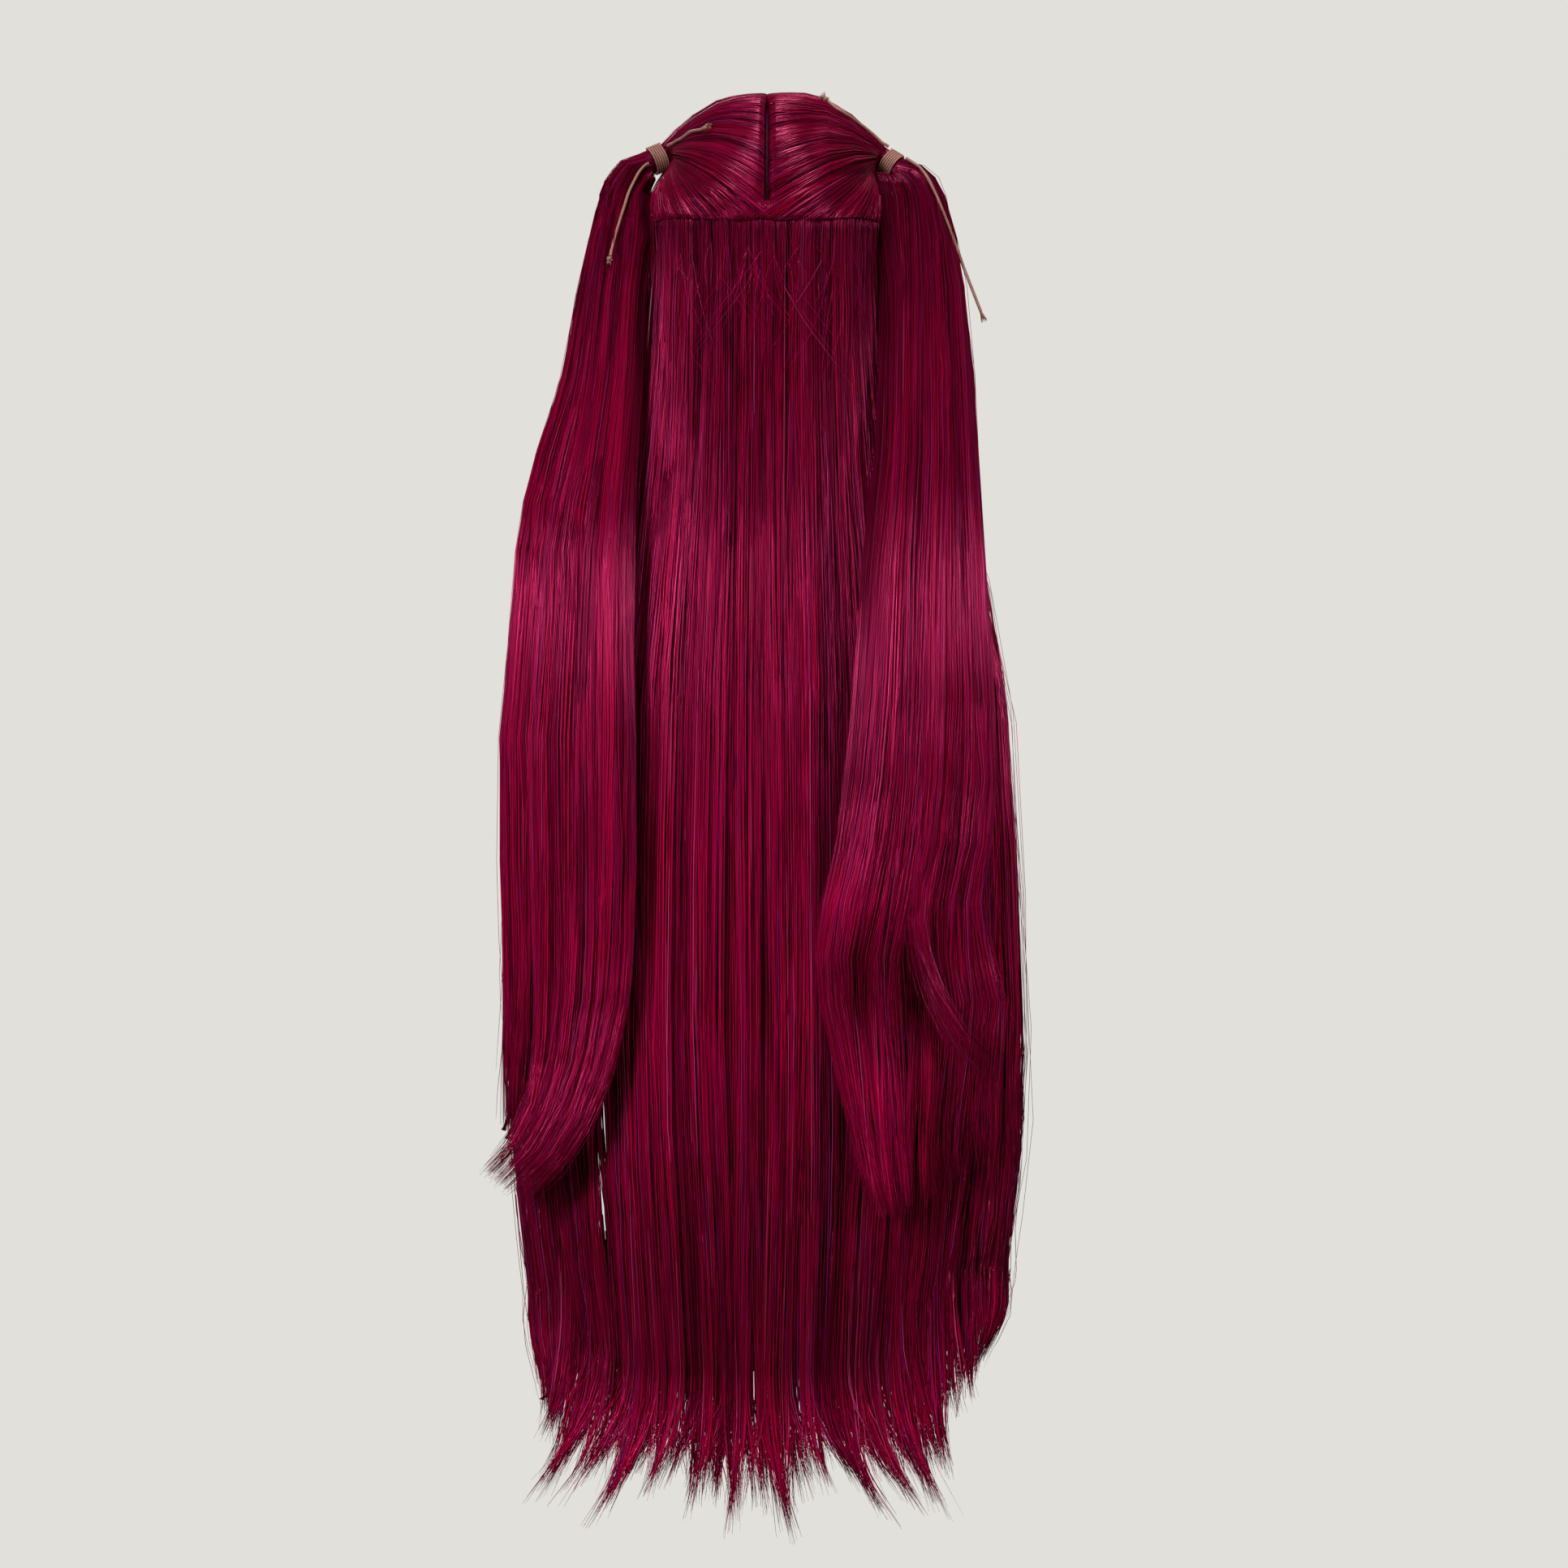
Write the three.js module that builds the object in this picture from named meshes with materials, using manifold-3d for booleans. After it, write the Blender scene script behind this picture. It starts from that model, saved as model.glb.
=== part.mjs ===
// A long straight cosplay wig with a centre parting and half-up twin tails, in its worn form.
// Units are millimetres. +Z is up, the wearer faces +Y, and +X is the wearer's right.
// The origin is the top of the head, where the inside of the cap rests.

import * as THREE from 'three';
import { mergeVertices } from 'three/addons/utils/BufferGeometryUtils.js';
import Module from 'manifold-3d';

const wasm = await Module();
wasm.setup();

// Driving dimensions

const GAP = 0.3;
const DEGREE = Math.PI / 180;

// The head that the cap fits: a rounded box-like ellipsoid, measured from its centre.
const HEAD = {
  centreZ: -95,
  halfWidth: 71,
  halfDepth: 90,
  above: 95,
  below: 120,
  roundness: 2.3,
};

const CAP = {
  wall: 1.5,
  clearance: 1.8,
  azimuthSteps: 32,
  polarSteps: 7,
};

// The cap's edge, as an angle down from the top of the head. Azimuth 0 is the nape, 180 the forehead.
const CAP_RIM = [
  { azimuth: 0, polar: 122 },
  { azimuth: 45, polar: 116 },
  { azimuth: 80, polar: 106 },
  { azimuth: 90, polar: 97 },
  { azimuth: 100, polar: 79 },
  { azimuth: 125, polar: 75.5 },
  { azimuth: 150, polar: 66.5 },
  { azimuth: 180, polar: 60.5 },
];

// The parting over the top, as angles from the top of the head: negative towards the forehead.
const PARTING = {
  front: -60,
  back: 79,
  halfGap: 1.6,
  weftHalfWidth: 1.2,
  weftLift: 0.6,
  weftHeight: 1,
  weftMargin: 2,
  weftSteps: 18,
};

// The hair swept up to the ties. Its edge is rounded over a short distance. On its way from the edge,
// as a share of that way, it thins, gathers into the round of the tie and stands off the head.
const CROWN = {
  partingDepth: 10,
  edgeDepth: 1.2,
  edgeRadius: 8,
  partingSteps: 13,
  edgeSteps: 23,
  ridges: 9,
  ridgeShare: 0.05,
  thinning: 0.6,
  thinFrom: 0.4,
  thinTo: 0.9,
  gatherFrom: 0.35,
  bulgeSkew: 1.6,
};
const CROWN_ROWS = [0, 0.04, 0.1, 0.2, 0.34, 0.5, 0.66, 0.82, 0.93, 1];
const CROWN_INNER_ROWS = [0.88, 0.7, 0.52, 0.34, 0.17, 0];

// The lower edge and front hairline of the swept-up hair, and how deep the hair is there.
const CROWN_EDGE = [
  { azimuth: 0, polar: 80, depth: 10 },
  { azimuth: 45, polar: 80, depth: 10.5 },
  { azimuth: 90, polar: 78, depth: 9.5 },
  { azimuth: 125, polar: 75, depth: 7 },
  { azimuth: 150, polar: 66, depth: 6 },
  { azimuth: 180, polar: 60, depth: 7 },
];

// The wound cords. The axis points from the head out into the tail; bulge is how far the hair above
// and in front of the tie stands off the head.
const TIE = {
  neckRadius: 8.2,
  cordDiameter: 2.2,
  turns: 6,
  pitch: 2,
  grooveShare: 0.75,
  segments: 16,
};
const TIES = {
  left: { side: -1, centre: [-75.6, -22, -32.6], axis: [-0.89, -0.27, -0.36], bulge: 2.5 },
  right: { side: 1, centre: [85.9, -22, -36.7], axis: [0.8, -0.35, -0.49], bulge: 8 },
};

// The free ends of the wound cords: the line that the middle of each one follows, from its tie to its knot.
const CORD_SIDES = 8;
const CORD_STEP = 5.5;
const CORD_ROUTES = {
  left_up: [
    [-68.6, -30, -23.7],
    [-66.8, -32.5, -22.9],
    [-65, -34.8, -22.2],
    [-63, -38.2, -21],
    [-61, -41, -20],
    [-59, -42.6, -19],
    [-57.1, -44.2, -17.6],
    [-55.1, -45.8, -16.2],
    [-53.2, -47.4, -14.9],
    [-51.2, -50, -14.3],
    [-49.3, -52.9, -14],
    [-47.6, -55.3, -13.9],
    [-45.9, -57.6, -13.8],
    [-44.5, -59.8, -13.2],
    [-43.1, -61.8, -12.6],
  ],
  left_down: [
    [-81.6, -34, -36],
    [-83.8, -34.2, -37.2],
    [-86.2, -34.5, -39.4],
    [-88.4, -35.2, -42.2],
    [-90.3, -36.2, -45.6],
    [-92.2, -37.4, -49.3],
    [-94, -38.9, -53],
    [-95.7, -40.2, -57],
    [-97, -41.6, -61],
    [-98.3, -43, -65.5],
    [-99.9, -44.2, -70.5],
    [-101.6, -45.2, -76],
    [-103.4, -46.8, -82],
    [-105.2, -48.6, -88.2],
    [-106.9, -50.8, -94.5],
    [-108.1, -53.2, -100.5],
  ],
  right_up: [
    [84.2, -22, -23.9],
    [82, -22.3, -22.6],
    [79.8, -22.7, -21.4],
    [77.4, -23.2, -19.2],
    [75, -24, -17],
    [72.4, -24.9, -14.7],
    [69.6, -25.9, -12.4],
    [66.8, -27, -10.2],
    [63.8, -28.4, -8.1],
    [60.8, -30.8, -5.8],
    [57.7, -33.2, -3.6],
    [54.6, -35.2, -1.7],
    [51.4, -35.4, 0.4],
    [48.2, -33.6, 2.2],
    [45.2, -32, 4.7],
    [42.4, -30, 7.2],
  ],
  right_down: [
    [96.2, -26.6, -32],
    [99, -27.2, -33.9],
    [101.9, -28, -35.8],
    [104.9, -29, -38],
    [107.6, -30.4, -41],
    [110.2, -32.2, -44.7],
    [112.4, -33.6, -48.5],
    [114.4, -34.8, -52.6],
    [116.6, -35.8, -57.4],
    [118.8, -36.6, -62.3],
    [120.8, -36.6, -67.2],
    [122.7, -35.9, -71.8],
    [125, -35, -77.6],
    [127.3, -34.4, -83.5],
    [130, -34, -91],
    [132.8, -33.8, -98.8],
    [135.6, -33.6, -106.7],
    [138.6, -33.6, -114.6],
    [141.8, -33.8, -122.8],
    [145, -34.1, -131],
    [148, -34.4, -138.6],
  ],
};

// A knot or frayed end, as the radius at each distance past the end of its cord.
const ROUND_KNOT = [
  { distance: 0, radius: 1.3 },
  { distance: 1.2, radius: 2.4 },
  { distance: 3.2, radius: 2.6 },
  { distance: 4.8, radius: 1.7 },
  { distance: 6.6, radius: 2.2 },
];
const FRAYED_END = [
  { distance: 0, radius: 1.2 },
  { distance: 3, radius: 1.5 },
  { distance: 6, radius: 1.9 },
  { distance: 8.5, radius: 1.3 },
];
const KNOTS = {
  left_up: ROUND_KNOT,
  left_down: ROUND_KNOT,
  right_up: ROUND_KNOT,
  right_down: FRAYED_END,
};

// The tails: each row is a section between its outer and inner edge, with half its depth.
const TAIL = {
  pointsAround: 20,
  ridges: 5,
  ridgeShare: 0.16,
  yaw: 17,
  lean: 0.25,
  leanFromZ: -40,
  leanLowest: -80,
  restGap: 3,
  restSamples: 12,
  restReach: 20,
};
const TAIL_SECTIONS = {
  left: [
    { outerX: -97, outerZ: -34.6, innerX: -78.4, innerZ: -46.5, depth: 10 },
    { outerX: -106, outerZ: -48.6, innerX: -83, innerZ: -56, depth: 11 },
    { outerX: -112, outerZ: -64, innerX: -85, innerZ: -66, depth: 12 },
    { outerX: -121, outerZ: -87, innerX: -84.5, innerZ: -87, depth: 13 },
    { outerX: -130, outerZ: -126, innerX: -85, innerZ: -126, depth: 13.5 },
    { outerX: -137, outerZ: -165, innerX: -86, innerZ: -165, depth: 13.5 },
    { outerX: -143, outerZ: -204, innerX: -88, innerZ: -204, depth: 13.5 },
    { outerX: -153, outerZ: -238, innerX: -90, innerZ: -238, depth: 13 },
    { outerX: -165, outerZ: -271, innerX: -91, innerZ: -271, depth: 13 },
    { outerX: -172, outerZ: -305, innerX: -92, innerZ: -305, depth: 12.5 },
    { outerX: -175, outerZ: -350, innerX: -92, innerZ: -350, depth: 12 },
    { outerX: -181, outerZ: -406, innerX: -91, innerZ: -406, depth: 12 },
    { outerX: -184, outerZ: -462, innerX: -90, innerZ: -462, depth: 12 },
    { outerX: -182, outerZ: -518, innerX: -90, innerZ: -518, depth: 12 },
    { outerX: -181, outerZ: -574, innerX: -92, innerZ: -574, depth: 11.5 },
    { outerX: -183, outerZ: -630, innerX: -100, innerZ: -626, depth: 10 },
    { outerX: -184, outerZ: -672, innerX: -110, innerZ: -655, depth: 8.5 },
    { outerX: -187, outerZ: -702, innerX: -127, innerZ: -692, depth: 7 },
  ],
  right: [
    { outerX: 106, outerZ: -38, innerX: 83.4, innerZ: -49, depth: 10 },
    { outerX: 115, outerZ: -46, innerX: 86.2, innerZ: -56, depth: 11 },
    { outerX: 122, outerZ: -58.7, innerX: 86.8, innerZ: -64, depth: 12 },
    { outerX: 129, outerZ: -86.7, innerX: 85, innerZ: -86.7, depth: 13 },
    { outerX: 135, outerZ: -121.5, innerX: 82, innerZ: -121.5, depth: 13.5 },
    { outerX: 139, outerZ: -157, innerX: 78.4, innerZ: -157, depth: 13.5 },
    { outerX: 143, outerZ: -204, innerX: 77, innerZ: -204, depth: 13.5 },
    { outerX: 144, outerZ: -238, innerX: 75, innerZ: -238, depth: 13 },
    { outerX: 147, outerZ: -283, innerX: 68, innerZ: -283, depth: 13 },
    { outerX: 152, outerZ: -350, innerX: 64, innerZ: -350, depth: 12.5 },
    { outerX: 155, outerZ: -406, innerX: 59, innerZ: -406, depth: 12 },
    { outerX: 157, outerZ: -462, innerX: 54, innerZ: -462, depth: 12 },
    { outerX: 155, outerZ: -518, innerX: 47, innerZ: -518, depth: 12 },
    { outerX: 147, outerZ: -574, innerX: 42, innerZ: -574, depth: 12 },
    { outerX: 140, outerZ: -620, innerX: 45, innerZ: -620, depth: 11 },
    { outerX: 128, outerZ: -665, innerX: 51, innerZ: -665, depth: 9.5 },
    { outerX: 121, outerZ: -700, innerX: 58, innerZ: -700, depth: 8 },
  ],
};

// The pointed locks at the end of each tail, and how far each one bows sideways on its way.
const TAIL_LOCKS = {
  left: [
    { rootX: -172, rootZ: -640, tipX: -193, tipZ: -731, halfWidth: 11, bow: 4 },
    { rootX: -160, rootZ: -645, tipX: -190, tipZ: -739, halfWidth: 12, bow: 6 },
    { rootX: -146, rootZ: -645, tipX: -181, tipZ: -743, halfWidth: 12, bow: 7 },
    { rootX: -131, rootZ: -640, tipX: -169, tipZ: -747, halfWidth: 12, bow: 8 },
    { rootX: -118, rootZ: -630, tipX: -150, tipZ: -735, halfWidth: 9, bow: 8 },
  ],
  right: [
    { rootX: 66, rootZ: -630, tipX: 73, tipZ: -752, halfWidth: 12, bow: -6 },
    { rootX: 82, rootZ: -640, tipX: 86, tipZ: -762, halfWidth: 13, bow: 6 },
    { rootX: 98, rootZ: -640, tipX: 106, tipZ: -757, halfWidth: 13, bow: -6 },
    { rootX: 112, rootZ: -630, tipX: 116, tipZ: -744, halfWidth: 11, bow: 6 },
    { rootX: 130, rootZ: -560, tipX: 146, tipZ: -658, halfWidth: 12, bow: 5 },
  ],
};

// The loose hair in plan is a rounded half-ellipse at each level, open towards the wearer's front.
// edgeY is where its side edges hang, and backDepth is how far the middle stands behind them.
const LOOSE = {
  columns: 36,
  rows: 10,
  rowSkew: 1.15,
  ridges: 9,
  ridgeHeight: 1.3,
  ridgeFrom: 0.2,
  nearEdge: 0.95,
  topZ: -87,
  bottomZ: -908,
};

// How far the bottom of the loose hair rises towards each side.
const LOOSE_RISE = {
  left: { fromX: -118, toX: -140, rise: 42 },
  right: { fromX: 108, toX: 150, rise: 64 },
};
const LOOSE_LEVELS = [
  { z: -908, halfWidth: 152, edgeY: -73, backDepth: 40, wall: 7 },
  { z: -872, halfWidth: 156, edgeY: -72, backDepth: 42, wall: 8 },
  { z: -820, halfWidth: 162, edgeY: -68, backDepth: 47, wall: 9 },
  { z: -753, halfWidth: 170, edgeY: -65, backDepth: 51, wall: 10 },
  { z: -690, halfWidth: 177, edgeY: -62, backDepth: 54, wall: 11 },
  { z: -570, halfWidth: 173, edgeY: -58, backDepth: 62, wall: 13 },
  { z: -460, halfWidth: 169, edgeY: -54, backDepth: 67, wall: 14 },
  { z: -390, halfWidth: 163, edgeY: -48, backDepth: 69, wall: 15 },
  { z: -316, halfWidth: 149, edgeY: -38, backDepth: 70, wall: 15 },
  { z: -260, halfWidth: 123, edgeY: -22, backDepth: 77, wall: 14 },
  { z: -204, halfWidth: 96, edgeY: 0, backDepth: 99, wall: 13 },
  { z: -150, halfWidth: 85, edgeY: 12, backDepth: 116, wall: 10.5 },
  { z: -97, halfWidth: 84, edgeY: 16, backDepth: 120, wall: 9 },
  { z: -87, halfWidth: 80, edgeY: 16, backDepth: 115, wall: 4.5 },
];

// The tapered locks along the bottom of the loose hair, from left to right.
const LOOSE_LOCKS = [
  { rootX: -149, rootZ: -815, tipX: -147, tipZ: -901, halfWidth: 12 },
  { rootX: -122, rootZ: -850, tipX: -156, tipZ: -950, halfWidth: 11 },
  { rootX: -106, rootZ: -862, tipX: -138, tipZ: -953, halfWidth: 12 },
  { rootX: -88, rootZ: -868, tipX: -115, tipZ: -967, halfWidth: 13 },
  { rootX: -66, rootZ: -868, tipX: -84, tipZ: -952, halfWidth: 14 },
  { rootX: -43, rootZ: -868, tipX: -54, tipZ: -962, halfWidth: 14 },
  { rootX: -20, rootZ: -868, tipX: -22, tipZ: -975, halfWidth: 14 },
  { rootX: 3, rootZ: -868, tipX: 17, tipZ: -981, halfWidth: 14 },
  { rootX: 26, rootZ: -868, tipX: 42, tipZ: -950, halfWidth: 14 },
  { rootX: 49, rootZ: -868, tipX: 82, tipZ: -967, halfWidth: 14 },
  { rootX: 71, rootZ: -862, tipX: 104, tipZ: -961, halfWidth: 13 },
  { rootX: 92, rootZ: -855, tipX: 118, tipZ: -963, halfWidth: 12 },
  { rootX: 111, rootZ: -830, tipX: 125, tipZ: -938, halfWidth: 12 },
  { rootX: 133, rootZ: -800, tipX: 139, tipZ: -888, halfWidth: 12 },
];

// Places where the loose hair has parted and shows light through.
const LOOSE_SLITS = [
  { x: -112, topZ: -662, bottomZ: -796, halfWidth: 3 },
  { x: 104, topZ: -757, bottomZ: -840, halfWidth: 5 },
];

const LOCK = {
  sides: 6,
  steps: 5,
  rootHalfDepth: 3.2,
  tipHalfDepth: 0.7,
  tipHalfWidth: 0.9,
};

const HAIR_FINISH = { colour: '#7d0d3c', roughness: 0.4 };
const CAP_FINISH = { colour: '#2b0a18', roughness: 0.9 };
const CORD_FINISH = { colour: '#a5736a', roughness: 0.75 };

// Small helpers

const clamp01 = (value) => Math.min(1, Math.max(0, value));
const mix = (from, to, share) => from + (to - from) * share;

function smooth(from, to, value) {
  const share = clamp01((value - from) / (to - from));
  return share * share * (3 - 2 * share);
}

function readTable(rows, key, column, value) {
  const next = rows.findIndex((row) => row[key] >= value);
  if (next === 0) return rows[0][column];
  if (next < 0) return rows[rows.length - 1][column];
  const low = rows[next - 1];
  const high = rows[next];
  return mix(low[column], high[column], (value - low[key]) / (high[key] - low[key]));
}

function point(x, y, z) {
  return new THREE.Vector3(x, y, z);
}

function centreOf(ring) {
  const sum = ring.reduce((total, corner) => total.add(corner), point(0, 0, 0));
  return sum.divideScalar(ring.length);
}

// A closed mesh from its corners and triangles, with its faces turned outwards.
function closedGeometry(corners, triangles) {
  let volume = 0;
  for (const [a, b, c] of triangles) {
    volume += corners[a].dot(corners[b].clone().cross(corners[c]));
  }
  const outward = volume > 0 ? triangles : triangles.map(([a, b, c]) => [a, c, b]);
  const geometry = new THREE.BufferGeometry();
  geometry.setAttribute('position', new THREE.Float32BufferAttribute(corners.flatMap((p) => p.toArray()), 3));
  geometry.setIndex(outward.flat());
  return geometry;
}

// A body lofted through rings of equally many corners, closed by a point at each end.
function loft(rings, start, end) {
  const size = rings[0].length;
  const corners = [start, ...rings.flat(), end];
  const last = corners.length - 1;
  const corner = (ring, i) => 1 + ring * size + (i % size);
  const triangles = [];
  for (let i = 0; i < size; i += 1) {
    triangles.push([0, corner(0, i + 1), corner(0, i)]);
    triangles.push([last, corner(rings.length - 1, i), corner(rings.length - 1, i + 1)]);
    for (let ring = 0; ring + 1 < rings.length; ring += 1) {
      triangles.push([corner(ring, i), corner(ring, i + 1), corner(ring + 1, i + 1)]);
      triangles.push([corner(ring, i), corner(ring + 1, i + 1), corner(ring + 1, i)]);
    }
  }
  return closedGeometry(corners, triangles);
}

// A thick sheet from two equal grids of corners, closed along its four edges.
function thickSheet(outer, inner) {
  const columns = outer[0].length;
  const rings = outer.map((row, i) => [...row, ...[...inner[i]].reverse()]);
  const size = 2 * columns;
  const corner = (ring, i) => ring * size + (i % size);
  const triangles = [];
  for (let ring = 0; ring + 1 < rings.length; ring += 1) {
    for (let i = 0; i < size; i += 1) {
      triangles.push([corner(ring, i), corner(ring, i + 1), corner(ring + 1, i + 1)]);
      triangles.push([corner(ring, i), corner(ring + 1, i + 1), corner(ring + 1, i)]);
    }
  }
  const last = rings.length - 1;
  for (let i = 0; i + 1 < columns; i += 1) {
    const across = size - 1 - i;
    triangles.push([corner(0, i), corner(0, across), corner(0, i + 1)]);
    triangles.push([corner(0, i + 1), corner(0, across), corner(0, across - 1)]);
    triangles.push([corner(last, i), corner(last, i + 1), corner(last, across)]);
    triangles.push([corner(last, i + 1), corner(last, across - 1), corner(last, across)]);
  }
  return closedGeometry(rings.flat(), triangles);
}

function toSolid(geometry) {
  const bare = geometry.clone();
  bare.deleteAttribute('normal');
  bare.deleteAttribute('uv');
  const merged = mergeVertices(bare);
  return new wasm.Manifold(new wasm.Mesh({
    numProp: 3,
    vertProperties: merged.attributes.position.array,
    triVerts: new Uint32Array(merged.index.array),
  }));
}

function toGeometry(solid) {
  const mesh = solid.getMesh();
  const geometry = new THREE.BufferGeometry();
  geometry.setAttribute('position', new THREE.BufferAttribute(mesh.vertProperties, 3));
  geometry.setIndex(new THREE.BufferAttribute(mesh.triVerts, 1));
  return geometry;
}

// The head's surface

function direction(azimuth, polar) {
  const across = Math.sin(polar * DEGREE);
  return point(
    across * Math.sin(azimuth * DEGREE),
    -across * Math.cos(azimuth * DEGREE),
    Math.cos(polar * DEGREE),
  );
}

function headPoint(towards, lift) {
  const { halfWidth, halfDepth, above, below, roundness, centreZ } = HEAD;
  const height = towards.z > 0 ? above : below;
  const sum = Math.abs(towards.x / halfWidth) ** roundness
    + Math.abs(towards.y / halfDepth) ** roundness
    + Math.abs(towards.z / height) ** roundness;
  const radius = sum ** (-1 / roundness) + lift;
  return towards.clone().multiplyScalar(radius).add(point(0, 0, centreZ));
}

// The cap: an inner and an outer skin that meet at the rim.
function wigCap() {
  const skin = (lift, share) => Array.from({ length: CAP.azimuthSteps }, (_, i) => {
    const azimuth = (i * 360) / CAP.azimuthSteps;
    const fromNape = Math.min(azimuth, 360 - azimuth);
    const rim = readTable(CAP_RIM, 'azimuth', 'polar', fromNape);
    return headPoint(direction(azimuth, rim * share), lift);
  });
  const shares = Array.from({ length: CAP.polarSteps }, (_, i) => (i + 1) / CAP.polarSteps);
  const inner = shares.map((share) => skin(0, share));
  const outer = shares.map((share) => skin(CAP.wall, share)).reverse();
  const top = direction(0, 0);
  return loft([...inner, ...outer], headPoint(top, 0), headPoint(top, CAP.wall));
}

// The sewn strip along the bottom of the parting.
function partingWeft() {
  const { weftSteps, weftMargin, weftHalfWidth, weftLift, weftHeight, front, back } = PARTING;
  const rings = [];
  for (let i = 0; i <= weftSteps; i += 1) {
    const along = mix(front + weftMargin, back - weftMargin, i / weftSteps);
    const low = headPoint(direction(0, along), CAP.wall + weftLift);
    const high = headPoint(direction(0, along), CAP.wall + weftLift + weftHeight);
    rings.push([
      low.clone().setX(-weftHalfWidth),
      low.clone().setX(weftHalfWidth),
      high.clone().setX(weftHalfWidth),
      high.clone().setX(-weftHalfWidth),
    ]);
  }
  return loft(rings, centreOf(rings[0]), centreOf(rings[weftSteps]));
}

// The ties

function tieFrame(name) {
  const { centre, axis } = TIES[name];
  const along = point(...axis).normalize();
  const up = point(0, 0, 1).addScaledVector(along, -along.z).normalize();
  const forward = point(0, 1, 0).addScaledVector(along, -along.y);
  forward.addScaledVector(up, -forward.dot(up)).normalize();
  return { centre: point(...centre), along, up, forward };
}

const TIE_HALF_LENGTH = (TIE.pitch * (TIE.turns - 1) + TIE.cordDiameter) / 2;

function tieCircle(name, distance, angle) {
  const { centre, along, up, forward } = tieFrame(name);
  return centre.clone()
    .addScaledVector(along, distance)
    .addScaledVector(up, TIE.neckRadius * Math.cos(angle))
    .addScaledVector(forward, TIE.neckRadius * Math.sin(angle));
}

// Turns a ring that was made round +Y so that it sits round the tie's axis.
function placeOnTie(geometry, name) {
  const { centre, along } = tieFrame(name);
  const turn = new THREE.Quaternion().setFromUnitVectors(point(0, 1, 0), along);
  return geometry.applyQuaternion(turn).translate(...centre.toArray());
}

function tieBand(name) {
  const inside = TIE.neckRadius + GAP;
  const groove = inside + TIE.grooveShare * TIE.cordDiameter;
  const profile = [new THREE.Vector2(inside, -TIE_HALF_LENGTH)];
  for (let turn = 0; turn < TIE.turns; turn += 1) {
    const middle = (turn - (TIE.turns - 1) / 2) * TIE.pitch;
    profile.push(new THREE.Vector2(groove, middle - TIE.pitch / 2));
    profile.push(new THREE.Vector2(inside + TIE.cordDiameter, middle));
  }
  profile.push(new THREE.Vector2(groove, (TIE.turns * TIE.pitch) / 2));
  profile.push(new THREE.Vector2(inside, TIE_HALF_LENGTH));
  profile.push(profile[0].clone());
  return placeOnTie(new THREE.LatheGeometry(profile, TIE.segments), name);
}

// The space that the hair leaves for a tie.
function tieRoom(name) {
  const inside = TIE.neckRadius + GAP / 2;
  const outside = TIE.neckRadius + TIE.cordDiameter + 3 * GAP;
  const half = TIE_HALF_LENGTH + GAP;
  const profile = [
    new THREE.Vector2(inside, -half),
    new THREE.Vector2(outside, -half),
    new THREE.Vector2(outside, half),
    new THREE.Vector2(inside, half),
    new THREE.Vector2(inside, -half),
  ];
  return toSolid(placeOnTie(new THREE.LatheGeometry(profile, TIE.segments), name));
}

function cordCurve(name) {
  return new THREE.CatmullRomCurve3(CORD_ROUTES[name].map((place) => point(...place)));
}

function cord(name) {
  const curve = cordCurve(name);
  const section = new THREE.Shape(Array.from({ length: CORD_SIDES }, (_, i) => {
    const angle = (2 * Math.PI * i) / CORD_SIDES;
    return new THREE.Vector2(Math.cos(angle), Math.sin(angle)).multiplyScalar(TIE.cordDiameter / 2);
  }));
  const steps = Math.round(curve.getLength() / CORD_STEP);
  return new THREE.ExtrudeGeometry(section, { steps, extrudePath: curve, bevelEnabled: false });
}

function knot(name) {
  const curve = cordCurve(name);
  const along = curve.getTangent(1);
  const start = curve.getPoint(1).addScaledVector(along, GAP);
  const side = point(0, 1, 0).cross(along).normalize();
  const other = along.clone().cross(side);
  const rings = KNOTS[name].map(({ distance, radius }) => (
    Array.from({ length: CORD_SIDES }, (_, i) => {
      const angle = (2 * Math.PI * i) / CORD_SIDES;
      return start.clone()
        .addScaledVector(along, distance)
        .addScaledVector(side, radius * Math.cos(angle))
        .addScaledVector(other, radius * Math.sin(angle));
    })
  ));
  return loft(rings, centreOf(rings[0]), centreOf(rings[rings.length - 1]));
}

// The swept-up hair

// The edge of one half of the crown: back along the parting, then round below to the forehead.
function crownEdge(side) {
  const edge = [];
  for (let i = 0; i < CROWN.partingSteps; i += 1) {
    const along = mix(PARTING.front, PARTING.back, i / CROWN.partingSteps);
    edge.push({ towards: direction(0, along), depth: CROWN.partingDepth, parting: 1 });
  }
  for (let i = 0; i < CROWN.edgeSteps; i += 1) {
    const azimuth = (180 * i) / CROWN.edgeSteps;
    const polar = readTable(CROWN_EDGE, 'azimuth', 'polar', azimuth);
    const depth = readTable(CROWN_EDGE, 'azimuth', 'depth', azimuth);
    edge.push({ towards: direction(side * azimuth, polar), depth, parting: 0 });
  }
  const least = PARTING.halfGap / HEAD.above;
  for (const { towards } of edge) {
    towards.setX(side * Math.max(least, Math.abs(towards.x))).normalize();
  }
  return edge;
}

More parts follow.
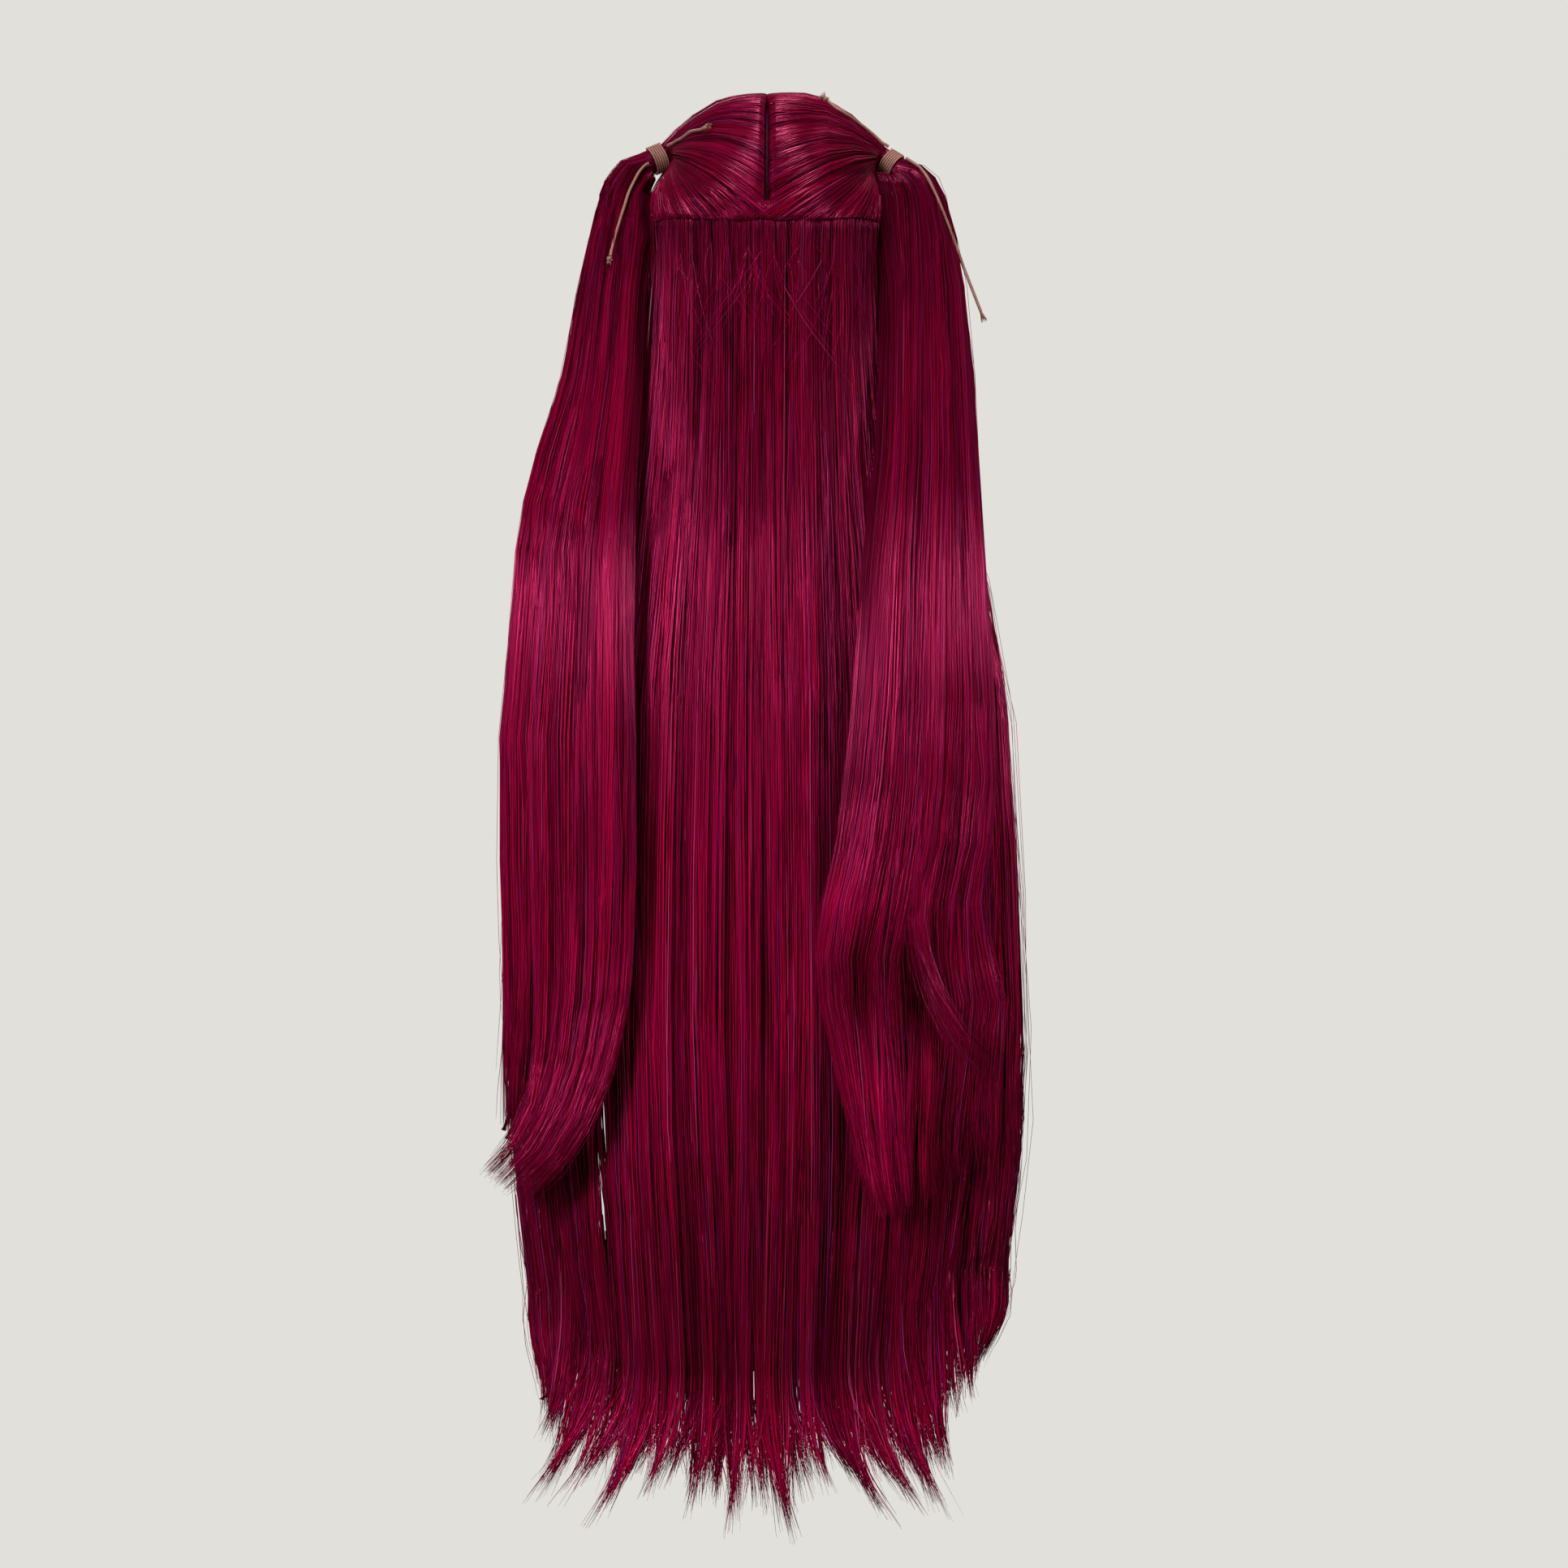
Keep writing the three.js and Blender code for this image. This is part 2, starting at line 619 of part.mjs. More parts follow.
function crownHalf(name) {
  const { side, bulge } = TIES[name];
  const { centre, along, up, forward } = tieFrame(name);
  const mouthDistance = -TIE_HALF_LENGTH - 2 * GAP;
  const mouth = centre.clone().addScaledVector(along, mouthDistance);
  const foot = mouth.clone().sub(point(0, 0, HEAD.centreZ)).normalize();
  const footUp = up.clone().addScaledVector(foot, -up.dot(foot)).normalize();
  const footForward = forward.clone().addScaledVector(foot, -forward.dot(foot));
  footForward.addScaledVector(footUp, -footForward.dot(footUp)).normalize();

  const edge = crownEdge(side);
  edge.forEach((place, i) => {
    const { towards } = place;
    place.angle = Math.atan2(towards.dot(footForward), towards.dot(footUp));
    place.length = HEAD.halfDepth * towards.angleTo(foot);
    place.ridge = 1 + CROWN.ridgeShare * Math.cos((2 * Math.PI * CROWN.ridges * i) / edge.length);
  });
  const sweep = (towards, share) => towards.clone().lerp(foot, share).normalize();

  const outerPoint = (place, share) => {
    const edgeShare = clamp01((share * place.length) / CROWN.edgeRadius);
    const rounded = Math.sqrt(1 - (1 - edgeShare) ** 2);
    const thinning = 1 - CROWN.thinning * (1 - place.parting) * smooth(CROWN.thinFrom, CROWN.thinTo, share);
    const lifted = bulge * place.parting * Math.sin(Math.PI * share ** CROWN.bulgeSkew);
    const depth = mix(CROWN.edgeDepth, place.depth * place.ridge * thinning, rounded) + lifted;
    const onHead = headPoint(sweep(place.towards, share), CAP.wall + CAP.clearance + depth);
    const onMouth = tieCircle(name, mouthDistance, place.angle);
    return onHead.lerp(onMouth, smooth(CROWN.gatherFrom, 1, share));
  };
  const inner = CROWN_INNER_ROWS.map((share) => edge.map(
    ({ towards }) => headPoint(sweep(towards, share), CAP.wall + CAP.clearance),
  ));
  const outer = CROWN_ROWS.map((share) => edge.map((place) => outerPoint(place, share)));
  const neck = edge.map(({ angle }) => tieCircle(name, -GAP / 2, angle));
  const body = loft(
    [...inner, ...outer, neck],
    headPoint(foot, CAP.wall + CAP.clearance),
    centreOf([tieCircle(name, -GAP / 2, 0), tieCircle(name, -GAP / 2, Math.PI)]),
  );
  return toGeometry(toSolid(body).subtract(tieRoom(name)));
}

// The loose hair

function looseLevel(z) {
  const read = (column) => readTable(LOOSE_LEVELS, 'z', column, z);
  return {
    halfWidth: read('halfWidth'),
    edgeY: read('edgeY'),
    backDepth: read('backDepth'),
    wall: read('wall'),
  };
}

// The outer face of the loose hair at a place x across it. Beside it, the face near its edge is meant.
function looseOuterY(x, z) {
  const { halfWidth, edgeY, backDepth } = looseLevel(z);
  const share = Math.min(LOOSE.nearEdge, Math.abs(x) / halfWidth);
  return edgeY - LOOSE.ridgeHeight - backDepth * (1 - share ** HEAD.roundness) ** (1 / HEAD.roundness);
}

function isOverLooseHair(x, z) {
  return z < LOOSE.topZ && Math.abs(x) < looseLevel(z).halfWidth + LOOSE.ridgeHeight;
}

function looseBottom(x) {
  const { fromX, toX, rise } = x < 0 ? LOOSE_RISE.left : LOOSE_RISE.right;
  return LOOSE.bottomZ + rise * smooth(fromX, toX, x);
}

function looseCorner(column, row, isOuter) {
  const angle = mix(-90, 90, column / LOOSE.columns) * DEGREE;
  const across = Math.sign(angle) * Math.abs(Math.sin(angle)) ** (2 / HEAD.roundness);
  const back = Math.max(0, Math.cos(angle)) ** (2 / HEAD.roundness);
  const bottom = looseBottom(across * LOOSE_LEVELS[0].halfWidth);
  const share = row / LOOSE.rows;
  const z = mix(LOOSE.topZ, bottom, share ** LOOSE.rowSkew);
  const { halfWidth, edgeY, backDepth, wall } = looseLevel(z);
  const ridge = LOOSE.ridgeHeight * Math.cos((2 * Math.PI * LOOSE.ridges * column) / LOOSE.columns);
  const offset = isOuter ? ridge * smooth(0, LOOSE.ridgeFrom, share) : -wall;
  return point(across * (halfWidth + offset), edgeY - back * (backDepth + offset), z);
}

// One tapered lock along a path of middles; the width runs across it and the depth towards the back.
function lockSolid(path, halfWidth) {
  const rings = path.map((middle, i) => {
    const share = i / (path.length - 1);
    const width = mix(LOCK.tipHalfWidth, halfWidth, Math.sqrt(1 - share ** 2));
    const depth = mix(LOCK.rootHalfDepth, LOCK.tipHalfDepth, share);
    return Array.from({ length: LOCK.sides }, (_, k) => {
      const angle = (2 * Math.PI * k) / LOCK.sides;
      return point(middle.x + width * Math.cos(angle), middle.y + depth * Math.sin(angle), middle.z);
    });
  });
  return toSolid(loft(rings, path[0], path[path.length - 1]));
}

function looseLock({ rootX, rootZ, tipX, tipZ, halfWidth }) {
  const path = Array.from({ length: LOCK.steps + 1 }, (_, i) => {
    const share = i / LOCK.steps;
    const x = mix(rootX, tipX, share ** 2);
    const z = mix(rootZ, tipZ, share);
    const y = looseOuterY(x, Math.max(z, LOOSE.bottomZ)) + LOOSE.ridgeHeight + LOCK.rootHalfDepth;
    return point(x, y, z);
  });
  return lockSolid(path, halfWidth);
}

function looseSlit({ x, topZ, bottomZ, halfWidth }) {
  const middle = (topZ + bottomZ) / 2;
  const frontY = LOOSE_LEVELS[0].edgeY + LOOSE_LEVELS[0].backDepth;
  const backY = LOOSE_LEVELS[0].edgeY - 2 * LOOSE_LEVELS[0].backDepth;
  const rings = [frontY, backY].map((y) => [
    point(x - halfWidth, y, middle),
    point(x, y, bottomZ),
    point(x + halfWidth, y, middle),
    point(x, y, topZ),
  ]);
  return toSolid(loft(rings, centreOf(rings[0]), centreOf(rings[1])));
}

function looseHair() {
  const grid = (isOuter) => Array.from({ length: LOOSE.rows + 1 }, (_, row) => (
    Array.from({ length: LOOSE.columns + 1 }, (_unused, column) => looseCorner(column, row, isOuter))
  ));
  let solid = toSolid(thickSheet(grid(true), grid(false)));
  for (const lock of LOOSE_LOCKS) {
    solid = solid.add(looseLock(lock));
  }
  for (const slit of LOOSE_SLITS) {
    solid = solid.subtract(looseSlit(slit));
  }
  return toGeometry(solid);
}

// The tails

// How far back the middle of a tail's section hangs: it leans back as it falls and lies on the loose hair.
function tailMiddleY(name, row) {
  const middleX = (row.outerX + row.innerX) / 2;
  const middleZ = (row.outerZ + row.innerZ) / 2;
  const leaning = TIES[name].centre[1] + TAIL.lean * Math.min(0, middleZ - TAIL.leanFromZ);
  let y = Math.max(TAIL.leanLowest, leaning);
  for (let i = 0; i <= TAIL.restSamples; i += 1) {
    const share = mix(-1, 1, i / TAIL.restSamples);
    const x = middleX + (share * (row.outerX - row.innerX)) / 2;
    const z = middleZ + (share * (row.outerZ - row.innerZ)) / 2;
    const turned = share * Math.abs((row.outerX - row.innerX) / 2) * Math.tan(TAIL.yaw * DEGREE);
    const front = (1 + TAIL.ridgeShare) * row.depth * Math.sqrt(1 - share ** 2);
    for (const near of [z - TAIL.restReach, z, z + TAIL.restReach]) {
      if (isOverLooseHair(x, near)) {
        y = Math.min(y, looseOuterY(x, near) - TAIL.restGap - turned - front);
      }
    }
  }
  return y;
}

function tailSection(name, row) {
  const half = point(
    (row.outerX - row.innerX) / 2,
    Math.abs((row.outerX - row.innerX) / 2) * Math.tan(TAIL.yaw * DEGREE),
    (row.outerZ - row.innerZ) / 2,
  );
  const across = half.clone().normalize();
  const forward = point(0, 1, 0).addScaledVector(across, -across.y).normalize();
  const middle = point((row.outerX + row.innerX) / 2, tailMiddleY(name, row), (row.outerZ + row.innerZ) / 2);
  return Array.from({ length: TAIL.pointsAround }, (_, i) => {
    const angle = (2 * Math.PI * i) / TAIL.pointsAround;
    const ridge = 1 + TAIL.ridgeShare * Math.cos(TAIL.ridges * angle);
    return middle.clone()
      .addScaledVector(half, Math.cos(angle))
      .addScaledVector(forward, row.depth * ridge * Math.sin(angle));
  });
}

// The middle surface of a tail, which its locks go on from.
function tailMiddleSurface(name) {
  const rows = TAIL_SECTIONS[name].map((row) => ({
    z: (row.outerZ + row.innerZ) / 2,
    x: (row.outerX + row.innerX) / 2,
    y: tailMiddleY(name, row),
  })).reverse();
  const slope = TIES[name].side * Math.tan(TAIL.yaw * DEGREE);
  return (x, z) => Math.min(
    readTable(rows, 'z', 'y', z) + slope * (x - readTable(rows, 'z', 'x', z)),
    looseOuterY(x, z) - TAIL.restGap - LOCK.rootHalfDepth,
  );
}

function tailLock(middleSurface, { rootX, rootZ, tipX, tipZ, halfWidth, bow }) {
  const path = Array.from({ length: LOCK.steps + 1 }, (_, i) => {
    const share = i / LOCK.steps;
    const x = mix(rootX, tipX, share) + bow * Math.sin(Math.PI * share);
    const z = mix(rootZ, tipZ, share);
    return point(x, middleSurface(x, z), z);
  });
  return lockSolid(path, halfWidth);
}

function tail(name) {
  const around = Array.from({ length: TAIL.pointsAround }, (_, i) => (2 * Math.PI * i) / TAIL.pointsAround);
  const neck = [GAP / 2, TIE_HALF_LENGTH + 2 * GAP].map(
    (distance) => around.map((angle) => tieCircle(name, distance, angle)),
  );
  const rings = [...neck, ...TAIL_SECTIONS[name].map((row) => tailSection(name, row))];
  let solid = toSolid(loft(rings, centreOf(rings[0]), centreOf(rings[rings.length - 1])));
  const middleSurface = tailMiddleSurface(name);
  for (const lock of TAIL_LOCKS[name]) {
    solid = solid.add(tailLock(middleSurface, lock));
  }
  return toGeometry(solid.subtract(tieRoom(name)));
}

// The finished wig

const wig = new THREE.Group();

function addPiece(name, geometry, { colour, roughness }) {
  const material = new THREE.MeshStandardMaterial({ color: colour, roughness, metalness: 0 });
  const piece = new THREE.Mesh(geometry, material);
  piece.name = name;
  wig.add(piece);
}

addPiece('wig_cap', wigCap(), CAP_FINISH);
addPiece('parting_weft', partingWeft(), CAP_FINISH);
addPiece('loose_hair', looseHair(), HAIR_FINISH);
for (const name of Object.keys(TIES)) {
  addPiece(`crown_${name}`, crownHalf(name), HAIR_FINISH);
  addPiece(`tail_${name}`, tail(name), HAIR_FINISH);
  addPiece(`tie_${name}`, tieBand(name), CORD_FINISH);
}
for (const name of Object.keys(CORD_ROUTES)) {
  addPiece(`cord_${name}`, cord(name), CORD_FINISH);
  addPiece(`knot_${name}`, knot(name), CORD_FINISH);
}

export default wig;
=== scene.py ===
# %% [markdown]
# # A long wig in half-up twin tails
# The solids of this wig give every piece its size and place. This lesson gives them their looks: fibres for
# the hair, wound cord for the ties, a sewn parting and a net cap. Sizes here are in millimetres, and a mesh
# is turned into metres at the moment it is made. Only the materials' own values are in metres.

# %% Load the measured solids
import math
import bpy
import numpy as np
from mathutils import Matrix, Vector


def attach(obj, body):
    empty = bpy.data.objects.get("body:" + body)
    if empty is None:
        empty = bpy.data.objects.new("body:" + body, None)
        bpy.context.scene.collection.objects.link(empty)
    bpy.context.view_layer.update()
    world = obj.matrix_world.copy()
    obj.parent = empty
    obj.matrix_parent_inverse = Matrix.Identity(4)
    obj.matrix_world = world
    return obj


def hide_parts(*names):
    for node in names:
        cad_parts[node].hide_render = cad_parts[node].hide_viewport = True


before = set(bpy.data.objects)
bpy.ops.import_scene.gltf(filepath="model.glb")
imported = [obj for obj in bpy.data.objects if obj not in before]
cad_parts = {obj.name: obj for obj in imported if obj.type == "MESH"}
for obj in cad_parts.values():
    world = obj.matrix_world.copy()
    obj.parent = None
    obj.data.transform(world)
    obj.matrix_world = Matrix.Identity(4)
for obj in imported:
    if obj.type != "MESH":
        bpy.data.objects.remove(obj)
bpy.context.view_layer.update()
MM = 0.001
SEED = 41
random = np.random.default_rng(SEED)

# %% [markdown]
# ## Camera
# The wig is seen from straight behind, level with the middle of its length. A long lens from some metres away
# keeps its outline true. The lens follows from the width that the picture has to show at that distance.

# %% Make the camera
PHOTO_SIDE = 1932
PIXEL = 0.56
CAMERA_DISTANCE = 12000
CAMERA_AIM = (11.8, -60, -465.2)
SENSOR = 36

bpy.ops.object.select_all(action="DESELECT")
bpy.ops.object.camera_add(
    location=(CAMERA_AIM[0] * MM, (CAMERA_AIM[1] - CAMERA_DISTANCE) * MM, CAMERA_AIM[2] * MM),
    rotation=(math.pi / 2, 0, 0),
)
camera = bpy.context.object
camera.data.sensor_width = SENSOR
camera.data.lens = SENSOR * CAMERA_DISTANCE / (PHOTO_SIDE * PIXEL)
bpy.context.scene.camera = camera
print("camera lens:", round(camera.data.lens, 1), "mm")

# %% [markdown]
# ## The free cord ends
# Each tie is one waxed cord wound round a bunch of hair, and both its ends are left free. A free end could be
# simulated, but it is short and stiff and lies on the hair, so its route is given: a smooth curve with a
# round section, which keeps its true length.

# %% Lay the cord ends
CORD_DIAMETER = 2.2
CORD_SEGMENTS = 6
CORD_ROUNDNESS = 3
CORD_ROUTES = {
    "left_up": [
        (-68.6, -30, -23.7), (-66.8, -32.5, -22.9), (-65, -34.8, -22.2), (-63, -38.2, -21), (-61, -41, -20),
        (-59, -42.6, -19), (-57.1, -44.2, -17.6), (-55.1, -45.8, -16.2), (-53.2, -47.4, -14.9),
        (-51.2, -50, -14.3), (-49.3, -52.9, -14), (-47.6, -55.3, -13.9), (-45.9, -57.6, -13.8),
        (-44.5, -59.8, -13.2), (-43.1, -61.8, -12.6),
    ],
    "left_down": [
        (-81.6, -34, -36), (-83.8, -34.2, -37.2), (-86.2, -34.5, -39.4), (-88.4, -35.2, -42.2),
        (-90.3, -36.2, -45.6), (-92.2, -37.4, -49.3), (-94, -38.9, -53), (-95.7, -40.2, -57),
        (-97, -41.6, -61), (-98.3, -43, -65.5), (-99.9, -44.2, -70.5), (-101.6, -45.2, -76),
        (-103.4, -46.8, -82), (-105.2, -48.6, -88.2), (-106.9, -50.8, -94.5), (-108.1, -53.2, -100.5),
    ],
    "right_up": [
        (84.2, -22, -23.9), (82, -22.3, -22.6), (79.8, -22.7, -21.4), (77.4, -23.2, -19.2), (75, -24, -17),
        (72.4, -24.9, -14.7), (69.6, -25.9, -12.4), (66.8, -27, -10.2), (63.8, -28.4, -8.1),
        (60.8, -30.8, -5.8), (57.7, -33.2, -3.6), (54.6, -35.2, -1.7), (51.4, -35.4, 0.4),
        (48.2, -33.6, 2.2), (45.2, -32, 4.7), (42.4, -30, 7.2),
    ],
    "right_down": [
        (96.2, -26.6, -32), (99, -27.2, -33.9), (101.9, -28, -35.8), (104.9, -29, -38), (107.6, -30.4, -41),
        (110.2, -32.2, -44.7), (112.4, -33.6, -48.5), (114.4, -34.8, -52.6), (116.6, -35.8, -57.4),
        (118.8, -36.6, -62.3), (120.8, -36.6, -67.2), (122.7, -35.9, -71.8), (125, -35, -77.6),
        (127.3, -34.4, -83.5), (130, -34, -91), (132.8, -33.8, -98.8), (135.6, -33.6, -106.7),
        (138.6, -33.6, -114.6), (141.8, -33.8, -122.8), (145, -34.1, -131), (148, -34.4, -138.6),
    ],
}


def add_object(name, data):
    """A new object of the scene."""
    piece = bpy.data.objects.new(name, data)
    bpy.context.scene.collection.objects.link(piece)
    return piece


def smooth_curve(name, points, diameter):
    """A round cord through the points, as a curve object."""
    curve = bpy.data.curves.new(name, "CURVE")
    curve.dimensions = "3D"
    curve.bevel_depth = diameter / 2 * MM
    curve.bevel_resolution = CORD_ROUNDNESS
    curve.resolution_u = CORD_SEGMENTS
    curve.use_fill_caps = True
    spline = curve.splines.new("BEZIER")
    spline.bezier_points.add(len(points) - 1)
    for knot, place in zip(spline.bezier_points, points):
        knot.co = Vector(place) * MM
        knot.handle_left_type = "AUTO"
        knot.handle_right_type = "AUTO"
    return add_object(name, curve)


cord_ends = {}
for name, route in CORD_ROUTES.items():
    cord_ends[name] = smooth_curve("cord_end_" + name, route, CORD_DIAMETER)
print("cord ends laid:", list(cord_ends))

# %% [markdown]
# ## Light and floor
# Wig fibre shows its shape by the bright bands across it. Two soft panels at the left and the right of the
# camera draw the band across the fall, one above draws the bands round the crown, and two more light the
# outline and the front. The floor lies some way below the tips and fades out towards its edge, so no line
# crosses the picture. It glows faintly, which keeps it pale and even, and its glow doesn't reach the hair.

# %% Set the lights, the surroundings and the floor
LIGHTS = [
    # name, place, aim, size, spread in degrees, power in watts
    ("left_panel", (-1500, -2600, 450), (0, -60, -590), 700, 23, 2.5),
    ("right_panel", (2600, -1600, 450), (0, -60, -590), 700, 23, 1.4),
    ("top_panel", (0, -500, 1900), (0, -60, -100), 500, 60, 3.2),
    ("rim_panel", (300, 1500, 1300), (0, 0, -300), 1400, 60, 0.6),
    ("front_panel", (-700, 2600, 500), (0, 0, -450), 1200, 40, 2),
]
SKY_SEEN = (0.76, 0.745, 0.71, 1)
SKY_LIGHT = 0.06
FLOOR_Z = -1120
FLOOR_RADIUS = 2600
FLOOR_TONE = (0.4, 0.4, 0.395, 1)
FLOOR_GLOW = 0.5
FLOOR_ROUGHNESS = 0.9
FLOOR_CORNERS = 96
FLOOR_FADE = (0.25, 0.95)


def add_node(tree, kind, inputs=None, **settings):
    """A new shader node with its settings and the values of its inputs."""
    node = tree.nodes.new("ShaderNode" + kind)
    for setting, value in settings.items():
        setattr(node, setting, value)
    for entry, value in (inputs or {}).items():
        node.inputs[entry].default_value = value
    return node


def add_links(tree, *wires):
    """Joins nodes. A wire is a node and its output, then the next node and its input."""
    for start, output, end, entry in wires:
        tree.links.new(start.outputs[output], end.inputs[entry])


def new_material(name, values):
    """A material, its node tree and its shader, whose constant values are set."""
    material = bpy.data.materials.new(name)
    material.use_nodes = True
    shader = material.node_tree.nodes["Principled BSDF"]
    for entry, value in values.items():
        shader.inputs[entry].default_value = value
    return material, material.node_tree, shader


def add_panel(name, place, aim, size, spread, power):
    """A square light, turned towards its aim."""
    bpy.ops.object.select_all(action="DESELECT")
    bpy.ops.object.light_add(type="AREA", location=Vector(place) * MM)
    panel = bpy.context.object
    panel.name = name
    panel.data.size = size * MM
    panel.data.energy = power
    panel.data.spread = math.radians(spread)
    panel.rotation_euler = (Vector(aim) - Vector(place)).to_track_quat("-Z", "Y").to_euler()


def make_surroundings():
    """A pale world: bright where the camera sees it, softer as a light."""
    world = bpy.data.worlds.new("pale_studio")
    bpy.context.scene.world = world
    world.use_nodes = True
    tree = world.node_tree
    tree.nodes.clear()
    seen = add_node(tree, "Background", {"Color": SKY_SEEN})
    lighting = add_node(tree, "Background", {"Color": (1, 1, 1, 1), "Strength": SKY_LIGHT})
    path = add_node(tree, "LightPath")
    chosen = add_node(tree, "MixShader")
    output = add_node(tree, "OutputWorld")
    add_links(
        tree,
        (path, "Is Camera Ray", chosen, "Fac"),
        (lighting, "Background", chosen, 1),
        (seen, "Background", chosen, 2),
        (chosen, "Shader", output, "Surface"),
    )


def make_floor():
    """A pale disc that fades out towards its rim."""
    bpy.ops.object.select_all(action="DESELECT")
    bpy.ops.mesh.primitive_circle_add(vertices=FLOOR_CORNERS, radius=FLOOR_RADIUS * MM, fill_type="NGON")
    floor = bpy.context.object
    floor.name = "floor"
    bpy.ops.object.mode_set(mode="EDIT")
    bpy.ops.transform.translate(value=(0, 0, FLOOR_Z * MM))
    bpy.ops.object.mode_set(mode="OBJECT")
    material, tree, shader = new_material("pale_floor", {
        "Base Color": FLOOR_TONE,
        "Roughness": FLOOR_ROUGHNESS,
        "Emission Color": SKY_SEEN,
        "Emission Strength": FLOOR_GLOW,
    })
    fade_from, fade_to = [share * FLOOR_RADIUS * MM for share in FLOOR_FADE]
    place = add_node(tree, "TexCoord")
    flat = add_node(tree, "VectorMath", {1: (1, 1, 0)}, operation="MULTIPLY")
    distance = add_node(tree, "VectorMath", operation="LENGTH")
    fade = add_node(
        tree, "MapRange", {"From Min": fade_from, "From Max": fade_to, "To Min": 1, "To Max": 0},
        interpolation_type="SMOOTHSTEP",
    )
    add_links(
        tree,
        (place, "Object", flat, 0),
        (flat, "Vector", distance, 0),
        (distance, "Value", fade, "Value"),
        (fade, "Result", shader, "Alpha"),
    )
    floor.data.materials.append(material)
    floor.visible_diffuse = False
    floor.visible_glossy = False


for light in LIGHTS:
    add_panel(*light)
make_surroundings()
make_floor()
bpy.context.scene.view_settings.view_transform = "Standard"
print("lights:", [light[0] for light in LIGHTS])

# %% [markdown]
# ## The hair's colour
# The fibre is dyed a deep magenta, and a wig maker mixes in crimson, plum and rose so that it doesn't look
# flat; the few rose strands also stand in for single hairs that catch the light, as painted highlight. Hair
# that lies deeper is painted darker, a painted shade for the light that the hair above it holds back, and the
# hair is also painted lighter or darker by height and in patches, as painted light and shade. Each strand
# here carries its tint and its painted shade in its own UV map, and one shared node group turns those into a
# colour and a roughness. Bumps can't show single fibres, so the fibres are real meshes and the material only
# has to colour them.

# %% Build the hair tone group
HAIR_TINTS = [
    (0.0, (0.042, 0.0003, 0.007)),
    (0.28, (0.125, 0.0005, 0.018)),
    (0.5, (0.235, 0.0008, 0.035)),
    (0.7, (0.320, 0.0012, 0.028)),
    (0.84, (0.300, 0.0040, 0.066)),
    (0.92, (0.130, 0.0060, 0.075)),
    (1.0, (0.380, 0.0300, 0.105)),
]
TINT_ROUGHNESS = {"To Min": 0.24, "To Max": 0.17}
BRIGHTEST_SHADE = 2


def set_ramp(node, stops):
    """Gives a colour ramp its stops, each a position and a colour."""
    elements = node.color_ramp.elements
    while len(elements) < len(stops):
        elements.new(0.5)
    for element, (position, colour) in zip(elements, stops):
        element.position = position
        element.color = (*colour, 1)


def build_hair_tone():
    """A group that turns a tint and a painted shade into a colour and a roughness."""
    group = bpy.data.node_groups.new("hair_tone", "ShaderNodeTree")
    for name in ("Tint", "Shade"):
        group.interface.new_socket(name, in_out="INPUT", socket_type="NodeSocketFloat")
    group.interface.new_socket("Color", in_out="OUTPUT", socket_type="NodeSocketColor")
    group.interface.new_socket("Roughness", in_out="OUTPUT", socket_type="NodeSocketFloat")
    entry = group.nodes.new("NodeGroupInput")
    result = group.nodes.new("NodeGroupOutput")
    ramp = add_node(group, "ValToRGB")
    set_ramp(ramp, HAIR_TINTS)
    # the shade scales the colour's value: below 1 it is painted shade, above 1 painted light
    value = add_node(group, "MapRange", {"To Max": BRIGHTEST_SHADE})
    shade = add_node(group, "HueSaturation")
    roughness = add_node(group, "MapRange", TINT_ROUGHNESS)
    add_links(
        group,
        (entry, "Tint", ramp, "Fac"),
        (entry, "Shade", value, "Value"),
        (ramp, "Color", shade, "Color"),
        (value, "Result", shade, "Value"),
        (entry, "Tint", roughness, "Value"),
        (shade, "Color", result, "Color"),
        (roughness, "Result", result, "Roughness"),
    )
    return group


hair_tone = build_hair_tone()
print("hair tone group with", len(HAIR_TINTS), "tints")

# %% [markdown]
# ## Three hair finishes and the cord's finish
# Strands read their own UV map. Below the strands lies a core that keeps light from showing through; it is
# painted dark, as painted shade for the shadowed hair between the strands, and it has streaks drawn out along
# the hair, from a noise that is stretched downwards or towards a tie. The cord is a matte waxed yarn with a
# fine grain.

# %% Make the materials
STRAND_SHINE = 0.68
STRAND_INDEX = 1.6
CORE_SHINE = 0.08
# the core's fixed shade and the dark tints of its streaks are painted shade for the shadowed hair between the
# strands
CORE_SHADE = 0.7
CORE_NOISE = {"Scale": 1, "Detail": 3}
CORE_STREAKS = {"From Min": 0.3, "From Max": 0.75, "To Min": 0.08, "To Max": 0.4}
CORE_BUMP = {"Strength": 0.6, "Distance": 0.001}
HANGING_STRETCH = (700, 500, 6)
SWEPT_STRETCH = (150, 3, 1)
SHINE_TINT = (1, 0.06, 0.26, 1)
CORD_TONES = [(0.3, (0.35, 0.145, 0.11)), (0.75, (0.62, 0.32, 0.245))]
CORD_GRAIN = {"Scale": 900, "Detail": 3}
CORD_RUBBED = {"Scale": 120}
CORD_BUMP = {"Strength": 0.5, "Distance": 0.0003}
CORD_ROUGHNESS = 0.62


def add_hair_tone(tree, shader):
    """The shared group, wired to the shader."""
    tone = add_node(tree, "Group", node_tree=hair_tone)
    add_links(tree, (tone, "Color", shader, "Base Color"), (tone, "Roughness", shader, "Roughness"))
    return tone


def strand_finish():
    """Glossy fibre, coloured by the strand's own tint."""
    material, tree, shader = new_material("hair_strands", {
        "IOR": STRAND_INDEX,
        "Specular IOR Level": STRAND_SHINE,
        "Specular Tint": SHINE_TINT,
    })
    tone = add_hair_tone(tree, shader)
    place = add_node(tree, "UVMap", uv_map="strand")
    parts = add_node(tree, "SeparateXYZ")
    add_links(
        tree,
        (place, "UV", parts, "Vector"),
        (parts, "X", tone, "Tint"),
        (parts, "Y", tone, "Shade"),
    )
    return material


